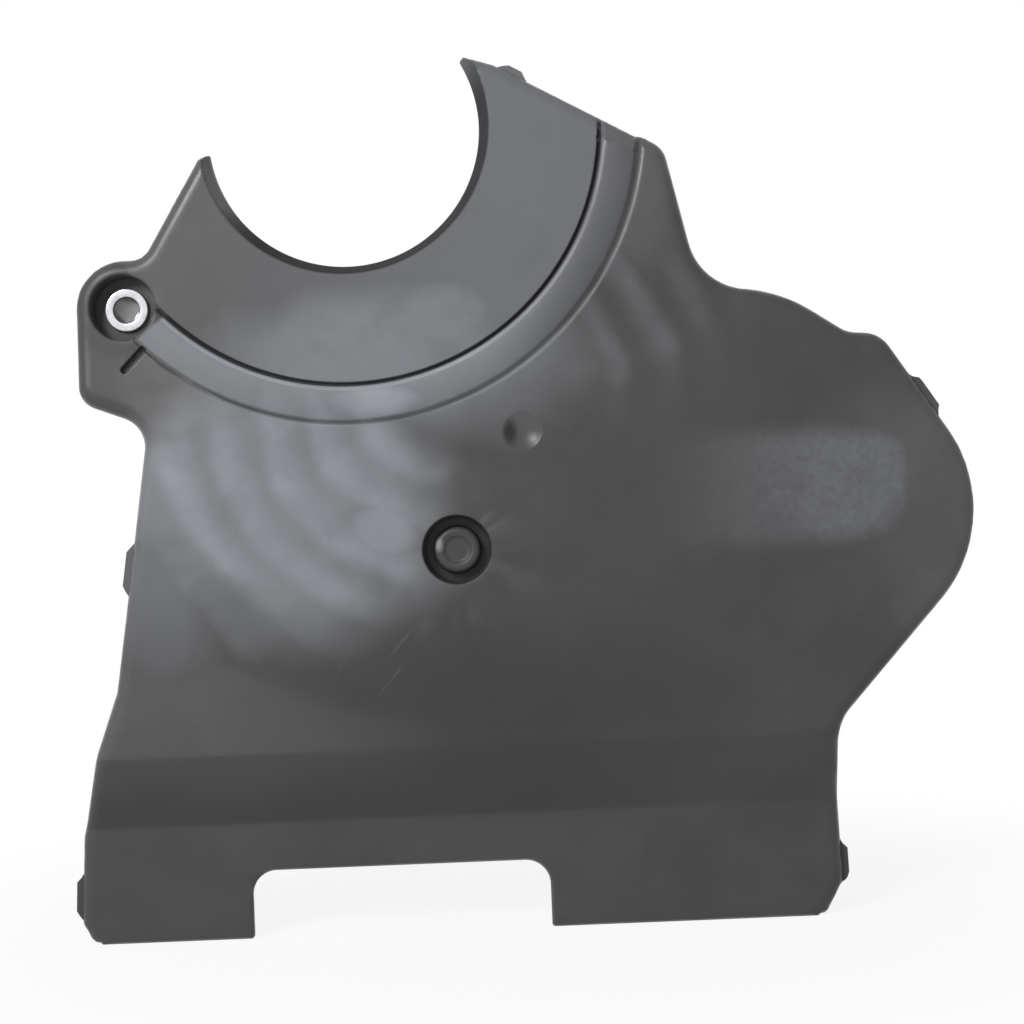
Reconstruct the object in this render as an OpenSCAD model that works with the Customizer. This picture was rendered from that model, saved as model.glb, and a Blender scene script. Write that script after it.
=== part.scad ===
// Lower timing cover: one moulded shell with a crowned field, a flat plate cut out for
// the crank pulley, a stepped lap flange with a notch, and a lug with a steel screw sleeve.
// The pieces are drawn lying down: x to the right, y up the face, z from the rim plane
// towards the viewer, with the pulley axis at x = y = 0. upright() then turns the face to -Y.

/* [Shell] */
// Height of the flat face over the rim plane
face_h = 30; // [24:0.5:45]
// Wall thickness of the moulding
wall = 2.5; // [1.8:0.1:3.2]
// Rounding of the front edge
edge_r = 3.5; // [2:0.1:4.5]
// Rounding of the feet's lower edge
foot_edge_r = 0.9; // [0.5:0.1:2]
// Rise of the crowned field over the flat face
crown_h = 3; // [1.5:0.1:5]
// Crown centre, across
crown_x = 39; // [20:1:60]
// Crown centre, up
crown_y = -2; // [-15:1:10]

/* [Pulley opening] */
// Radius of the opening
opening_r = 34.3; // [32:0.1:36]
// Depth of the lip round the opening
lip_depth = 7; // [4:0.5:12]
// Width of the lip's steep taper
lip_w = 2.2; // [1:0.1:2.4]
// Depth of the lip's steep taper
taper_d = 5; // [2:0.5:6.5]
// Clearance round the opening behind the lip
opening_clear = 6; // [3:0.5:10]
// Inner radius of the raised band
band_in_r = 65; // [58:0.1:67]
// Outer radius of the raised band
band_out_r = 73.7; // [70:0.1:78]
// Height of the band over the plate
band_h = 1.8; // [1:0.1:3]
// Radius of the band's rounded section
band_curve_r = 15; // [9:0.5:20]
// Width of the crease inside the band
crease_w = 1.1; // [0.5:0.1:2]
// Depth of the crease inside the band
crease_d = 0.9; // [0.3:0.1:1.5]
// Rounding of the field's edge along the band
field_edge_r = 3; // [2:0.1:5]

/* [Horns and top edge] */
// Bearing of the left horn's tip from the pulley axis
left_tip_a = 189.5; // [185:0.1:194]
// Width of the left horn's tip
left_tip_w = 2.9; // [0.6:0.1:4]
// Place across where the left horn meets the lug
horn_root_x = -51.4; // [-54:0.1:-49]
// Rounding where the left horn meets the lug
horn_root_r = 5.5; // [2:0.1:7]
// Bearing of the right horn's tip from the pulley axis
right_tip_a = 28.8; // [26:0.1:32]
// Width of the right horn's tip
right_tip_w = 1.2; // [0.6:0.1:3]
// Bend in the top edge: across, up, rounding
top_bend = [38.5, 14.8, 10]; // [-200:0.1:200]
// Top right corner: across, up, rounding
top_corner = [80.2, -8.5, 6.5]; // [-200:0.1:200]
// Inner corner below the top right corner: across, up, rounding
throat = [88, -43.2, 15.5]; // [-200:0.1:200]

/* [Right side] */
// Centre of the right lobe, across
lobe_x = 119.6; // [112:0.1:126]
// Centre of the right lobe, up
lobe_y = -100.6; // [-106:0.1:-96]
// Radius of the right lobe
lobe_r = 35; // [32:0.1:38]
// Direction that the edge below the lobe faces
lobe_low_a = -42.3; // [-50:0.1:-38]
// Direction that the edge above the lobe faces
lobe_high_a = 33.4; // [28:0.1:38]
// Place across of the shoulder above the lobe
shoulder_x = 132.6; // [129:0.1:136]
// Rounding of the shoulder
shoulder_r = 8; // [3:0.1:9]
// Dip beside the shoulder: across and up from it, and its rounding
dip = [-8.3, 0.6, 8]; // [-20:0.1:20]
// Upper lobe between the dip and the throat: across, up, rounding
upper_lobe = [108.2, -45.6, 38]; // [-200:0.1:200]
// Right leg where it meets the lobe, across
leg_x = 118.1; // [114:0.1:122]
// Rounding between the right leg and the lobe
leg_root_r = 12; // [8:1:27]

/* [Left side] */
// Heel of the lug, up
heel_y = -66.2; // [-69:0.1:-63]
// Rounding of the heel
heel_r = 6; // [3:0.1:7]
// Inner corner under the lug: across, up, rounding
lug_root = [-51.65, -72.8, 7.5]; // [-200:0.1:200]
// Start of the flare to the left foot: across, up, rounding
flare_top = [-62, -139, 8]; // [-200:0.1:200]
// End of the flare to the left foot: across, up, rounding
flare_end = [-67.5, -154.2, 8]; // [-200:0.1:200]
// Start of the straight edge of the left foot: across, up, rounding
flange_top = [-73.8, -176, 8]; // [-200:0.1:200]

/* [Lap flange and feet] */
// Bend where the face starts to step down
bend_y = -156; // [-160:0.5:-152]
// Height of the sloping band below the bend
slope_h = 17.6; // [12:0.1:22]
// Step down from the face to the lap flange
step_d = 9; // [5:0.5:14]
// Lower edge of the feet
foot_y = -203.3; // [-212:0.1:-198]
// Outer edge of the left foot
foot_left_x = -74.9; // [-78:0.1:-73]
// Outer edge of the right foot
foot_right_x = 119.3; // [115:0.1:122]
// Cut corner of the left foot: across, up
left_cut = [2.9, 5]; // [2:0.1:12]
// Cut corner of the right foot: across, up
right_cut = [4.6, 8.4]; // [2:0.1:12]
// Rounding of the foot corners
foot_r = 2.2; // [1:0.1:2.8]
// Left side of the notch
notch_left_x = -31; // [-45:0.5:-15]
// Right side of the notch
notch_right_x = 44.7; // [30:0.5:60]
// Height of the notch
notch_h = 17.1; // [10:0.1:22]
// Rounding of the notch's corners
notch_r = 6.3; // [2:0.1:8]

/* [Screw lug] */
// Centre of the lug, across
lug_x = -56.4; // [-59:0.1:-56]
// Centre of the lug, up
lug_y = -43; // [-44:0.1:-41]
// Outer radius of the lug
lug_r = 12.2; // [10.8:0.1:12.5]
// Radius of the screw pocket
pocket_r = 8.3; // [7:0.1:8.4]
// Rise of the crowned field for each millimetre away from the lug
lug_fade = 0.07; // [0.05:0.01:0.3]
// Depth of the screw pocket under the flat face
pocket_d = 6; // [4:0.5:18]
// Outer radius of the sleeve's head
sleeve_head_r = 5.5; // [5:0.1:6.5]
// Thickness of the sleeve's head
sleeve_head_t = 1.2; // [0.8:0.1:2]
// Outer radius of the sleeve's tube
sleeve_r = 4.5; // [4:0.1:4.8]
// Radius of the sleeve's bore
sleeve_bore_r = 3.25; // [2.7:0.05:3.5]
// Chamfer of the sleeve's edges
sleeve_chamfer = 0.4; // [0.2:0.05:0.5]
// Gap between the sleeve and its seat
sleeve_gap = 0.05; // [0.02:0.01:0.2]

/* [Slit, gate well and dimple] */
// Distance of the slit's middle from the pulley axis
slit_at_r = 78; // [77:0.1:82]
// Bearing of the slit from the pulley axis
slit_a = 226.1; // [222:0.1:230]
// Length of the slit
slit_l = 8.6; // [5:0.1:9]
// Width of the slit
slit_w = 2; // [1:0.1:3]
// Depth of the slit
slit_d = 1.8; // [0.8:0.1:2]
// Centre of the gate well, across
gate_x = 24.7; // [15:0.1:35]
// Centre of the gate well, up
gate_y = -106.7; // [-120:0.1:-100]
// Radius of the gate well
gate_r = 8.5; // [7:0.1:10]
// Depth of the gate well under the flat face
gate_d = 5; // [3:0.1:8]
// Taper of the gate well from its mouth to its floor
gate_taper = 0.6; // [0.2:0.1:1]
// Radius of the gate stub
stub_r = 5.9; // [3:0.1:6]
// Height of the gate stub
stub_h = 3.4; // [2:0.1:5]
// Rounding of the gate stub
stub_round = 1.3; // [0.5:0.1:1.6]
// Radius of the dish in the gate stub's top
dish_r = 3.6; // [1:0.1:4]
// Depth of the dish in the gate stub's top
dish_d = 0.5; // [0.2:0.1:1]
// Centre of the dimple, across
dimple_x = 42.2; // [30:0.1:55]
// Centre of the dimple, up
dimple_y = -77.8; // [-90:0.1:-77]
// Radius of the dimple
dimple_r = 4.8; // [3:0.1:6]
// Depth of the dimple
dimple_d = 1.3; // [0.5:0.1:1.6]

/* [Edge tabs] */
// How far a tab stands out from the skirt
tab_t = 1.8; // [0.8:0.1:3]
// Height of a tab, down from the rounded edge
tab_h = 8; // [4:0.5:11]

/* [Hidden] */
$fn = 96;

// Overlap of a cut past the surface that it opens
over = 1;
// Largest turn between two points of a rounded corner
arc_step = 10;
// Longest stretch between two points of a straight edge
line_step = 4;
// Smallest rounding of a corner that is moved inwards
least_r = 0.5;
// Facets across the rounded front edge
edge_steps = 5;
// Overlap of the rounded edge's first and last facet
edge_over = 0.15;
// Turns from the horns' tips to the places inside the opening where the outline closes
left_turn = 20;
right_turn = 5;
// Rounding of the horns' tips
close_r = 1;

// Crown: its circle ends at the bend, and its ball passes through that circle
crown_r = crown_y - bend_y;
crown_ball_r = (crown_r * crown_r + crown_h * crown_h) / (2 * crown_h);
crown_ball_z = face_h + crown_h - crown_ball_r;

// Radius at which the band is highest
band_crest_r = band_in_r + 0.4 * (band_out_r - band_in_r);

// Slope of the step to the lap flange
slope_a = atan(step_d / slope_h);
flange_h = face_h - step_d;

// Screw pocket and sleeve
pocket_floor_z = face_h - pocket_d;
boss_r = sleeve_r + sleeve_gap + wall;

// Tabs: edge of the outline, place along it, length
tabs = [[5, 0.54, 13], [8, 0.71, 11.5], [12, 0.11, 10.5], [14, 0.66, 12], [19, 0.89, 8]];

function bearing(a) = [cos(a), sin(a)];
function across(p) = [-p[1], p[0]];

// Corners of the outline, counter-clockwise: across, up, rounding.
// The first and last lie inside the opening, where the outline closes.
left_tip = (opening_r + left_tip_w) * bearing(left_tip_a);
left_close = 0.5 * opening_r * bearing(left_tip_a - left_turn);
right_tip = (opening_r + right_tip_w) * bearing(right_tip_a);
right_close = 0.5 * opening_r * bearing(right_tip_a - right_turn);
lobe_mid_a = (lobe_low_a + lobe_high_a) / 2;
lobe_reach = lobe_r / cos((lobe_high_a - lobe_low_a) / 2);
lobe_corner = [lobe_x, lobe_y] + lobe_reach * bearing(lobe_mid_a);
leg_root_y = lobe_y + (lobe_r - (leg_x - lobe_x) * cos(lobe_low_a)) / sin(lobe_low_a);
shoulder_y = lobe_y + (lobe_r - (shoulder_x - lobe_x) * cos(lobe_high_a)) / sin(lobe_high_a);
corners = [
    [left_close[0], left_close[1], close_r],
    [left_tip[0], left_tip[1], close_r],
    [horn_root_x, lug_y + lug_r, horn_root_r],
    [lug_x - lug_r, lug_y + lug_r, lug_r],
    [lug_x - lug_r, heel_y, heel_r],
    lug_root,
    flare_top,
    flare_end,
    flange_top,
    [foot_left_x, foot_y + left_cut[1], foot_r],
    [foot_left_x + left_cut[0], foot_y, foot_r],
    [foot_right_x - right_cut[0], foot_y, foot_r],
    [foot_right_x, foot_y + right_cut[1], foot_r],
    [leg_x, leg_root_y, leg_root_r],
    [lobe_corner[0], lobe_corner[1], lobe_r],
    [shoulder_x, shoulder_y, shoulder_r],
    [shoulder_x + dip[0], shoulder_y + dip[1], dip[2]],
    upper_lobe,
    throat,
    top_corner,
    top_bend,
    [right_tip[0], right_tip[1], close_r],
    [right_close[0], right_close[1], close_r]
];
count = len(corners);

function spot(i) = [corners[(i + count) % count][0], corners[(i + count) % count][1]];
function edge_dir(i) = (spot(i + 1) - spot(i)) / norm(spot(i + 1) - spot(i));
function turn(i) =
    let (u = edge_dir(i - 1), v = edge_dir(i))
    atan2(u[0] * v[1] - u[1] * v[0], u * v);

// Corner i of the outline moved inwards by d, and its rounding with the sign of the turn
function mitre(i) =
    let (m = across(edge_dir(i - 1)), n = across(edge_dir(i)))
    (m + n) / (1 + m * n);
function inset_round(i, d) =
    turn(i) > 0 ? max(corners[i][2] - d, least_r) : -max(corners[i][2] + d, least_r);
function corner_centre(i, d) = spot(i) + mitre(i) * (d + inset_round(i, d));

// Points of the rounded corner i, then of the straight edge that follows it
function corner_arc(i, d) =
    let (n = across(edge_dir(i - 1)), a = atan2(n[1], n[0]), steps = ceil(abs(turn(i)) / arc_step))
    [for (k = [0:steps]) corner_centre(i, d) - inset_round(i, d) * bearing(a + turn(i) * k / steps)];
function edge_points(i, d) =
    let (j = (i + 1) % count, n = across(edge_dir(i)))
    let (p = corner_centre(i, d) - inset_round(i, d) * n)
    let (q = corner_centre(j, d) - inset_round(j, d) * n)
    let (steps = ceil(norm(spot(j) - spot(i)) / line_step))
    [for (k = [1:1:steps - 1]) p + (q - p) * k / steps];
function outline(d) = [
    for (i = [0:count - 1])
        for (p = concat(corner_arc(i, d), edge_points(i, d))) p
];

// Height of the front surface at a place on the face, with the crown fading out over the band
function crown_rise(p) =
    let (r = norm(p - [crown_x, crown_y]))
    let (ball = crown_ball_z + sqrt(crown_ball_r * crown_ball_r - r * r) - face_h)
    max(0, min(ball, lug_fade * (norm(p - [lug_x, lug_y]) - lug_r)));
function step_fall(p) = max(0, min(step_d, (bend_y - p[1]) / slope_h * step_d));
function front_z(p) =
    let (share = (norm(p) - band_in_r) / (band_out_r - band_in_r))
    face_h - step_fall(p) + crown_rise(p) * max(0, min(1, share));

// Turns a piece that is drawn lying down so that its face looks along -Y
module upright() {
    rotate([90, 0, 0]) children();
}

// Share of the rounding that is left at a place, smaller along the lower edge of the feet
function edge_share(p) =
    let (least = foot_edge_r / edge_r, up = (p[1] - foot_y) / left_cut[1])
    least + (1 - least) * max(0, min(1, up));

// Cuts the front edge round: a strip of this section carried along the outline
module edge_rounding() {
    facet = 90 / edge_steps;
    run = edge_over / tan(facet / 2);
    top = crown_h + band_h + over;
    ramp = edge_r + run + band_h;
    section = concat(
        [[-edge_over, -edge_r - run]],
        [for (k = [1:edge_steps - 1]) edge_r * [1 - cos(k * facet), sin(k * facet) - 1]],
        [[edge_r + run, edge_over], [ramp, band_h], [ramp, top], [-over, top], [-over, -edge_r - run]]
    );
    edge = outline(0);
    n = len(edge);
    rings = [
        for (s = section)
            let (moved = outline(s[0]))
                [for (i = [0:n - 1])
                    let (k = edge_share(edge[i]), p = edge[i] + (moved[i] - edge[i]) * k)
                        [p[0], p[1], front_z(p) + s[1] * k]]
    ];
    m = len(section);
    polyhedron(
        points = [for (ring = rings) for (p = ring) p],
        faces = [
            for (j = [0:m - 1])
                for (i = [0:n - 1])
                    let (a = j * n + i, b = j * n + (i + 1) % n)
                    let (c = (j + 1) % m * n + (i + 1) % n, e = (j + 1) % m * n + i)
                    each [[a, b, c], [a, c, e]]
        ]
    );
}

// Removes the crown over the pulley plate and rounds the edge that is left along the band
module plate_cut(grow) {
    r = band_out_r + field_edge_r + grow;
    rotate_extrude()
        difference() {
            translate([0, face_h - grow]) square([r, crown_h + grow + over]);
            translate([r, face_h - grow]) circle(field_edge_r);
        }
}

// Lets the crown fade out towards the lug, so that the rim of its pocket is flat
module lug_fade_cut(d) {
    h = crown_h + over;
    translate([lug_x, lug_y, face_h - d]) cylinder(r1 = lug_r, r2 = lug_r + h / lug_fade, h = h);
}

// Everything over the step to the lap flange, moved inwards by d
module step_cut(d) {
    far = 2 * (foot_right_x - foot_left_x);
    y = bend_y + d * tan(slope_a / 2);
    top = face_h + crown_h + over;
    rotate([90, 0, 90])
        translate([0, 0, -far])
            linear_extrude(2 * far)
                polygon([
                    [y, top],
                    [y, face_h - d],
                    [y - slope_h, flange_h - d],
                    [2 * foot_y, flange_h - d],
                    [2 * foot_y, top]
                ]);
}

// Solid body under the front surface, moved inwards by d: the shell is one such body in another
module body(d, below) {
    difference() {
        union() {
            translate([0, 0, -below]) linear_extrude(face_h - d + below) polygon(outline(d));
            difference() {
                intersection() {
                    linear_extrude(face_h + crown_h) polygon(outline(d));
                    translate([crown_x, crown_y, crown_ball_z - d]) sphere(crown_ball_r, $fn = 500);
                }
                plate_cut(d);
                lug_fade_cut(d);
            }
        }
        step_cut(d);
    }
}

// The open lower end, between the returns at the corners of the feet
module lower_mouth() {
    left = foot_left_x + left_cut[0] + wall;
    right = foot_right_x - right_cut[0] - wall;
    translate([left, foot_y - over, -over])
        cube([right - left, wall + 2 * over, flange_h - wall + over]);
}

module shell() {
    difference() {
        union() {
            body(0, 0);
            band();
        }
        edge_rounding();
        body(wall, over);
        lower_mouth();
    }
}

// Raised band round the pulley plate, from the screw pocket to the top edge
module band() {
    start = atan2(lug_y, lug_x);
    intersection() {
        rotate([0, 0, start])
            rotate_extrude(angle = 180)
                intersection() {
                    translate([band_crest_r, face_h + band_h - band_curve_r]) circle(band_curve_r);
                    translate([band_in_r - crease_w / 2, face_h - wall / 2])
                        square([band_out_r - band_in_r + crease_w / 2 + field_edge_r / 4, wall / 2 + band_h]);
                }
        linear_extrude(face_h + band_h) polygon(outline(0));
    }
}

// Crease along the inner side of the band
module crease_cut() {
    rotate([0, 0, atan2(lug_y, lug_x)])
        rotate_extrude(angle = 180)
            translate([band_in_r - crease_w, face_h - crease_d]) square([crease_w, crease_d + band_h + over]);
}

module opening_lip() {
    intersection() {
        translate([0, 0, face_h - lip_depth])
            difference() {
                cylinder(r = opening_r + wall, h = lip_depth - wall / 2);
                translate([0, 0, -over]) cylinder(r = opening_r - over, h = lip_depth + over);
            }
        linear_extrude(face_h) polygon(outline(wall / 2));
    }
}

// Clears the opening, more widely behind its lip, and tapers the lip
module opening_cut() {
    top_r = opening_r + lip_w * (1 + over / taper_d);
    translate([0, 0, -over]) cylinder(r = opening_r, h = face_h + crown_h + 2 * over);
    translate([0, 0, -over]) cylinder(r = opening_r + opening_clear, h = face_h - lip_depth + over);
    translate([0, 0, face_h - taper_d]) cylinder(r1 = opening_r, r2 = top_r, h = taper_d + over);
}

// Cup and boss of the screw lug
module lug_boss() {
    intersection() {
        translate([lug_x, lug_y, 0]) {
            cylinder(r = boss_r, h = pocket_floor_z);
            translate([0, 0, pocket_floor_z - wall]) cylinder(r = pocket_r + wall, h = pocket_d + wall / 2);
        }
        linear_extrude(face_h) polygon(outline(wall / 2));
    }
}

module lug_cut() {
    translate([lug_x, lug_y, pocket_floor_z]) cylinder(r = pocket_r, h = pocket_d + crown_h + band_h + over);
    translate([lug_x, lug_y, -over]) cylinder(r = sleeve_r + sleeve_gap, h = face_h);
}

// Cup behind the gate well
module gate_cup() {
    floor_z = face_h - gate_d - wall;
    h = front_z([gate_x, gate_y]) - wall / 2 - floor_z;
    translate([gate_x, gate_y, floor_z]) cylinder(r = gate_r + wall, h = h);
}

module gate_cut() {
    rise = gate_d + crown_h + over;
    translate([gate_x, gate_y, face_h - gate_d])
        cylinder(r1 = gate_r - gate_taper, r2 = gate_r + gate_taper * (rise / gate_d - 1), h = rise);
}

// Rounded stub of the gate on the floor of its well, with a dished top
module gate_stub() {
    top = stub_h + wall / 2;
    translate([gate_x, gate_y, face_h - gate_d - wall / 2])
        rotate_extrude()
            difference() {
                union() {
                    square([stub_r - stub_round, top]);
                    square([stub_r, top - stub_round]);
                    translate([stub_r - stub_round, top - stub_round]) circle(stub_round);
                }
                polygon([
                    [-over, top - dish_d],
                    [dish_r - dish_d, top - dish_d],
                    [dish_r + over, top + over],
                    [-over, top + over]
                ]);
            }
}

module dimple_cut() {
    ball_r = (dimple_r * dimple_r + dimple_d * dimple_d) / (2 * dimple_d);
    at = [dimple_x, dimple_y];
    translate([at[0], at[1], front_z(at) - dimple_d + ball_r]) sphere(ball_r);
}

module slit_cut() {
    at = slit_at_r * bearing(slit_a);
    translate([at[0], at[1], front_z(at) - slit_d])
        rotate([0, 0, slit_a])
            linear_extrude(slit_d + over) {
                square([slit_l - slit_w, slit_w], center = true);
                for (side = [-1, 1]) translate([side * (slit_l - slit_w) / 2, 0]) circle(slit_w / 2);
            }
}

module notch_cut() {
    w = notch_right_x - notch_left_x;
    translate([notch_left_x, foot_y - over, -over])
        linear_extrude(face_h) {
            square([w, notch_h - notch_r + over]);
            translate([notch_r, 0]) square([w - 2 * notch_r, notch_h + over]);
            for (x = [notch_r, w - notch_r]) translate([x, notch_h - notch_r + over]) circle(notch_r);
        }
}

// Small tab on the skirt, with slanted ends, along edge t[0] of the outline
module edge_tab(t) {
    at = spot(t[0]) + (spot(t[0] + 1) - spot(t[0])) * t[1];
    dir = edge_dir(t[0]);
    root = wall / 2;
    translate([at[0], at[1], front_z(at) - edge_r - tab_h])
        rotate([0, 0, atan2(dir[1], dir[0])])
            linear_extrude(tab_h)
                polygon([
                    [-t[2] / 2, root],
                    [-t[2] / 2, 0],
                    [-t[2] / 2 + tab_t, -tab_t],
                    [t[2] / 2 - tab_t, -tab_t],
                    [t[2] / 2, 0],
                    [t[2] / 2, root]
                ]);
}

module cover_shell() {
    color("#35363a")
        upright() {
            difference() {
                union() {
                    shell();
                    opening_lip();
                    lug_boss();
                    gate_cup();
                    for (t = tabs) edge_tab(t);
                }
                opening_cut();
                crease_cut();
                lug_cut();
                gate_cut();
                dimple_cut();
                slit_cut();
                notch_cut();
            }
            gate_stub();
        }
}

// Headed steel sleeve: its head rests on the pocket's floor, its tube ends at the rim plane
module screw_sleeve() {
    top = pocket_floor_z + sleeve_head_t;
    c = sleeve_chamfer;
    color("#c9ccd0")
        upright()
            translate([lug_x, lug_y, 0])
                rotate_extrude()
                    polygon([
                        [sleeve_bore_r, c],
                        [sleeve_bore_r + c, 0],
                        [sleeve_r - c, 0],
                        [sleeve_r, c],
                        [sleeve_r, pocket_floor_z],
                        [sleeve_head_r, pocket_floor_z],
                        [sleeve_head_r, top - c],
                        [sleeve_head_r - c, top],
                        [sleeve_bore_r + c, top],
                        [sleeve_bore_r, top - c]
                    ]);
}

cover_shell();
screw_sleeve();
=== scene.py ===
"""Dresses the lower timing cover: the moulded shell, its steel screw sleeve and a pale studio.

The cover is worked out lying down, as across x, up y and height z over the rim plane, and each
finished mesh is turned so that its face looks along -Y, as the frame has it. Lengths are metres.
"""

import math

import bpy
import numpy as np
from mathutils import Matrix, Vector
from mathutils.geometry import delaunay_2d_cdt


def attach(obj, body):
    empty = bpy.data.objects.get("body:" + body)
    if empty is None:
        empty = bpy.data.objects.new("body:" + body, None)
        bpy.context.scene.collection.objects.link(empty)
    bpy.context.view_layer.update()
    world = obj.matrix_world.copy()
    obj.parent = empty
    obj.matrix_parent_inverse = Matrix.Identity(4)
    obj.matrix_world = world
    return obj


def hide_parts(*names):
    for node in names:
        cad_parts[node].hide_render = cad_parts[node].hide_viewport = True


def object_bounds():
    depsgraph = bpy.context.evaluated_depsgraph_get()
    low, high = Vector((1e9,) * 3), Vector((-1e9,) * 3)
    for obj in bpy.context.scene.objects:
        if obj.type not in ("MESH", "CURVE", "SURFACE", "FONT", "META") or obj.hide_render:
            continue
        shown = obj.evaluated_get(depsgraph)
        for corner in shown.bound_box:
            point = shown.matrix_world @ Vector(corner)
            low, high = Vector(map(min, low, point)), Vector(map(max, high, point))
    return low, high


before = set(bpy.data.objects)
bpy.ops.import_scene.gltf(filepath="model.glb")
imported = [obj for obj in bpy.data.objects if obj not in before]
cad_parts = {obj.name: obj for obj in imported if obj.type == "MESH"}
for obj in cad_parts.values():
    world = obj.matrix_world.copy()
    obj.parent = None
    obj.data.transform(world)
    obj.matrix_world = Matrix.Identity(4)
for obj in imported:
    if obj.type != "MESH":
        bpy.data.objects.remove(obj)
CAD_BOX = [list(corner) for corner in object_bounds()]

bl_info = {
    "name": "Timing cover",
    "version": (1, 0, 0),
    "blender": (4, 5, 0),
    "location": "View3D > Sidebar > Cover",
    "description": "Builds a moulded timing cover with its screw sleeve and a studio",
    "category": "Add Mesh",
}

MM = 0.001

# A difference too small to matter, and the height under which a place lies on the rim plane
TINY, ON_RIM = 1e-9, 1e-6

# Edges that turn further than this look sharp
SHARP = math.radians(38)

# Points round the lug's and the gate's features, round the dimple and round the sleeve
ROUND, DIMPLE_ROUND, SLEEVE_ROUND = 96, 64, 128

# Middle of each edge tab, across and up, and its length, in millimetres
TABS = [
    ((-57.24, -108.55), 13),
    ((-74.7, -191.7), 11.5),
    ((119.15, -190.4), 10.5),
    ((143.21, -72.82), 12),
    ((43.1, 12.25), 8),
]

# Rows down the outer side of the skirt: depth as a share of a tab's height, share of the way down
# where the lower edge has no skirt, and whether a tab pushes the row out
SIDE_ROWS = [(0.0, 0.25, 0), (0.0, 0.4, 1), (1.0, 0.6, 1), (1.0, 0.75, 0)]

# Foot and rim of the dish in the gate stub's top, as shares of the stub's radius
DISH = (0.5, 0.62)

# Shares of a feature's size at which the net of the front has a ring or a row
DISH_NET = np.array([0.2, 0.4, 0.5, 0.54, 0.58, 0.62])
DIMPLE_NET = np.array([0.15, 0.35, 0.55, 0.75, 0.9, 0.96, 1.0, 1.04, 1.1])
SLIT_NET = np.array([-3, -1, 0, 0.1, 0.4, 1, 2])
LIP_NET = np.array([0.2, 0.45, 0.7, 0.9, 0.95, 1.0, 1.05, 1.1, 1.4])
CREASE_NET = np.linspace(1.2, 0, 9)
VALLEY_NET = np.array([0, 0.04, 0.1, 0.2, 0.35, 0.55, 0.8, 1.0, 1.3])
BEND_NET = np.array([-1.5, -1, -0.5, 0, 0.5, 1, 1.5])

# Soft patches of painted highlight, painted shade and the plastic's own marks: place across and up,
# half width and half height, in millimetres, and the share of the patch over which it fades
PATCHES = {
    # These six patches hold a painted highlight, the first over flow marks: the left of the face, beside the
    # gate, the plate and the band
    "left_flow": ((-16, -93), (50, 43), 0.5),
    "left_edge": ((-49, -110), (24, 40), 0.9),
    "beside_gate": ((6, -101), (15, 14), 0.7),
    "plate_low": ((24, -48), (24, 16), 0.8),
    "under_plate": ((8, -58), (66, 30), 0.8),
    "band_glint": ((6, -69), (26, 8), 0.8),
    "top_corner": ((70, -10), (20, 40), 0.6),
    "right_flow": ((68, -50), (36, 34), 0.8),
    "gate_rays": ((20, -106), (36, 32), 0.8),
    "scratched": ((2, -132), (22, 18), 0.7),
    "past_crown": ((-40, -142), (76, 32), 0.5),
    "lobe": ((144, -96), (34, 50), 0.8),
    "pad": ((104, -94.5), (46, 25), 0.3),
    # Painted shade over the low field, where the highlight falls away
    "low_field": ((34, -146), (92, 40), 0.9),
    # A painted glint on the gate stub's upper-left edge, placed from the gate
    "stub_glint": ((-4.6, 1.4), (1.6, 2.6), 0.8),
    # Painted shade on the dimple's upper-left side, placed from the dimple
    "dimple_shade": ((-3.2, -0.2), (2.6, 4.4), 0.8),
}

# Spans over which the painted highlight, the painted shade on the slope, the pad and the lighter
# field past the crown fade, in millimetres: out from the crown's centre for the crown's edge, and
# across for the others
SPANS = {
    "inward": (-60, -25),
    "rightward": (-50, 50),
    "leftward": (30, 60),
    "crown_edge": (146, 153),
    "pad_start": (70, 125),
    "pad_end": (135.5, 140.5),
    "slope_fade": (40, 110),
}

# Lowest and highest place of the speckled pad, and the width of its soft edges, in millimetres
PAD_ROWS = (-104, -85, 8)


# Property helpers

def length(name, description, millimetres):
    """A length property, written in millimetres and kept in metres."""
    return bpy.props.FloatProperty(
        name=name, description=description, default=millimetres * MM, subtype="DISTANCE", unit="LENGTH"
    )


def place(name, description, *millimetres):
    """A row of two or three lengths, written in millimetres and kept in metres."""
    default = [value * MM for value in millimetres]
    return bpy.props.FloatVectorProperty(
        name=name, description=description, size=len(default), default=default, unit="LENGTH"
    )


def angle(name, description, degrees):
    """An angle property, written in degrees and kept in radians."""
    return bpy.props.FloatProperty(
        name=name, description=description, default=math.radians(degrees), subtype="ANGLE", unit="ROTATION"
    )


def number(name, description, value):
    """A plain number."""
    return bpy.props.FloatProperty(name=name, description=description, default=value)


def span(name, description, low, high):
    """A range of plain numbers."""
    return bpy.props.FloatVectorProperty(name=name, description=description, size=2, default=(low, high))


def colour(name, description, red, green, blue):
    """A linear colour."""
    return bpy.props.FloatVectorProperty(
        name=name, description=description, size=3, default=(red, green, blue), subtype="COLOR"
    )


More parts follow.
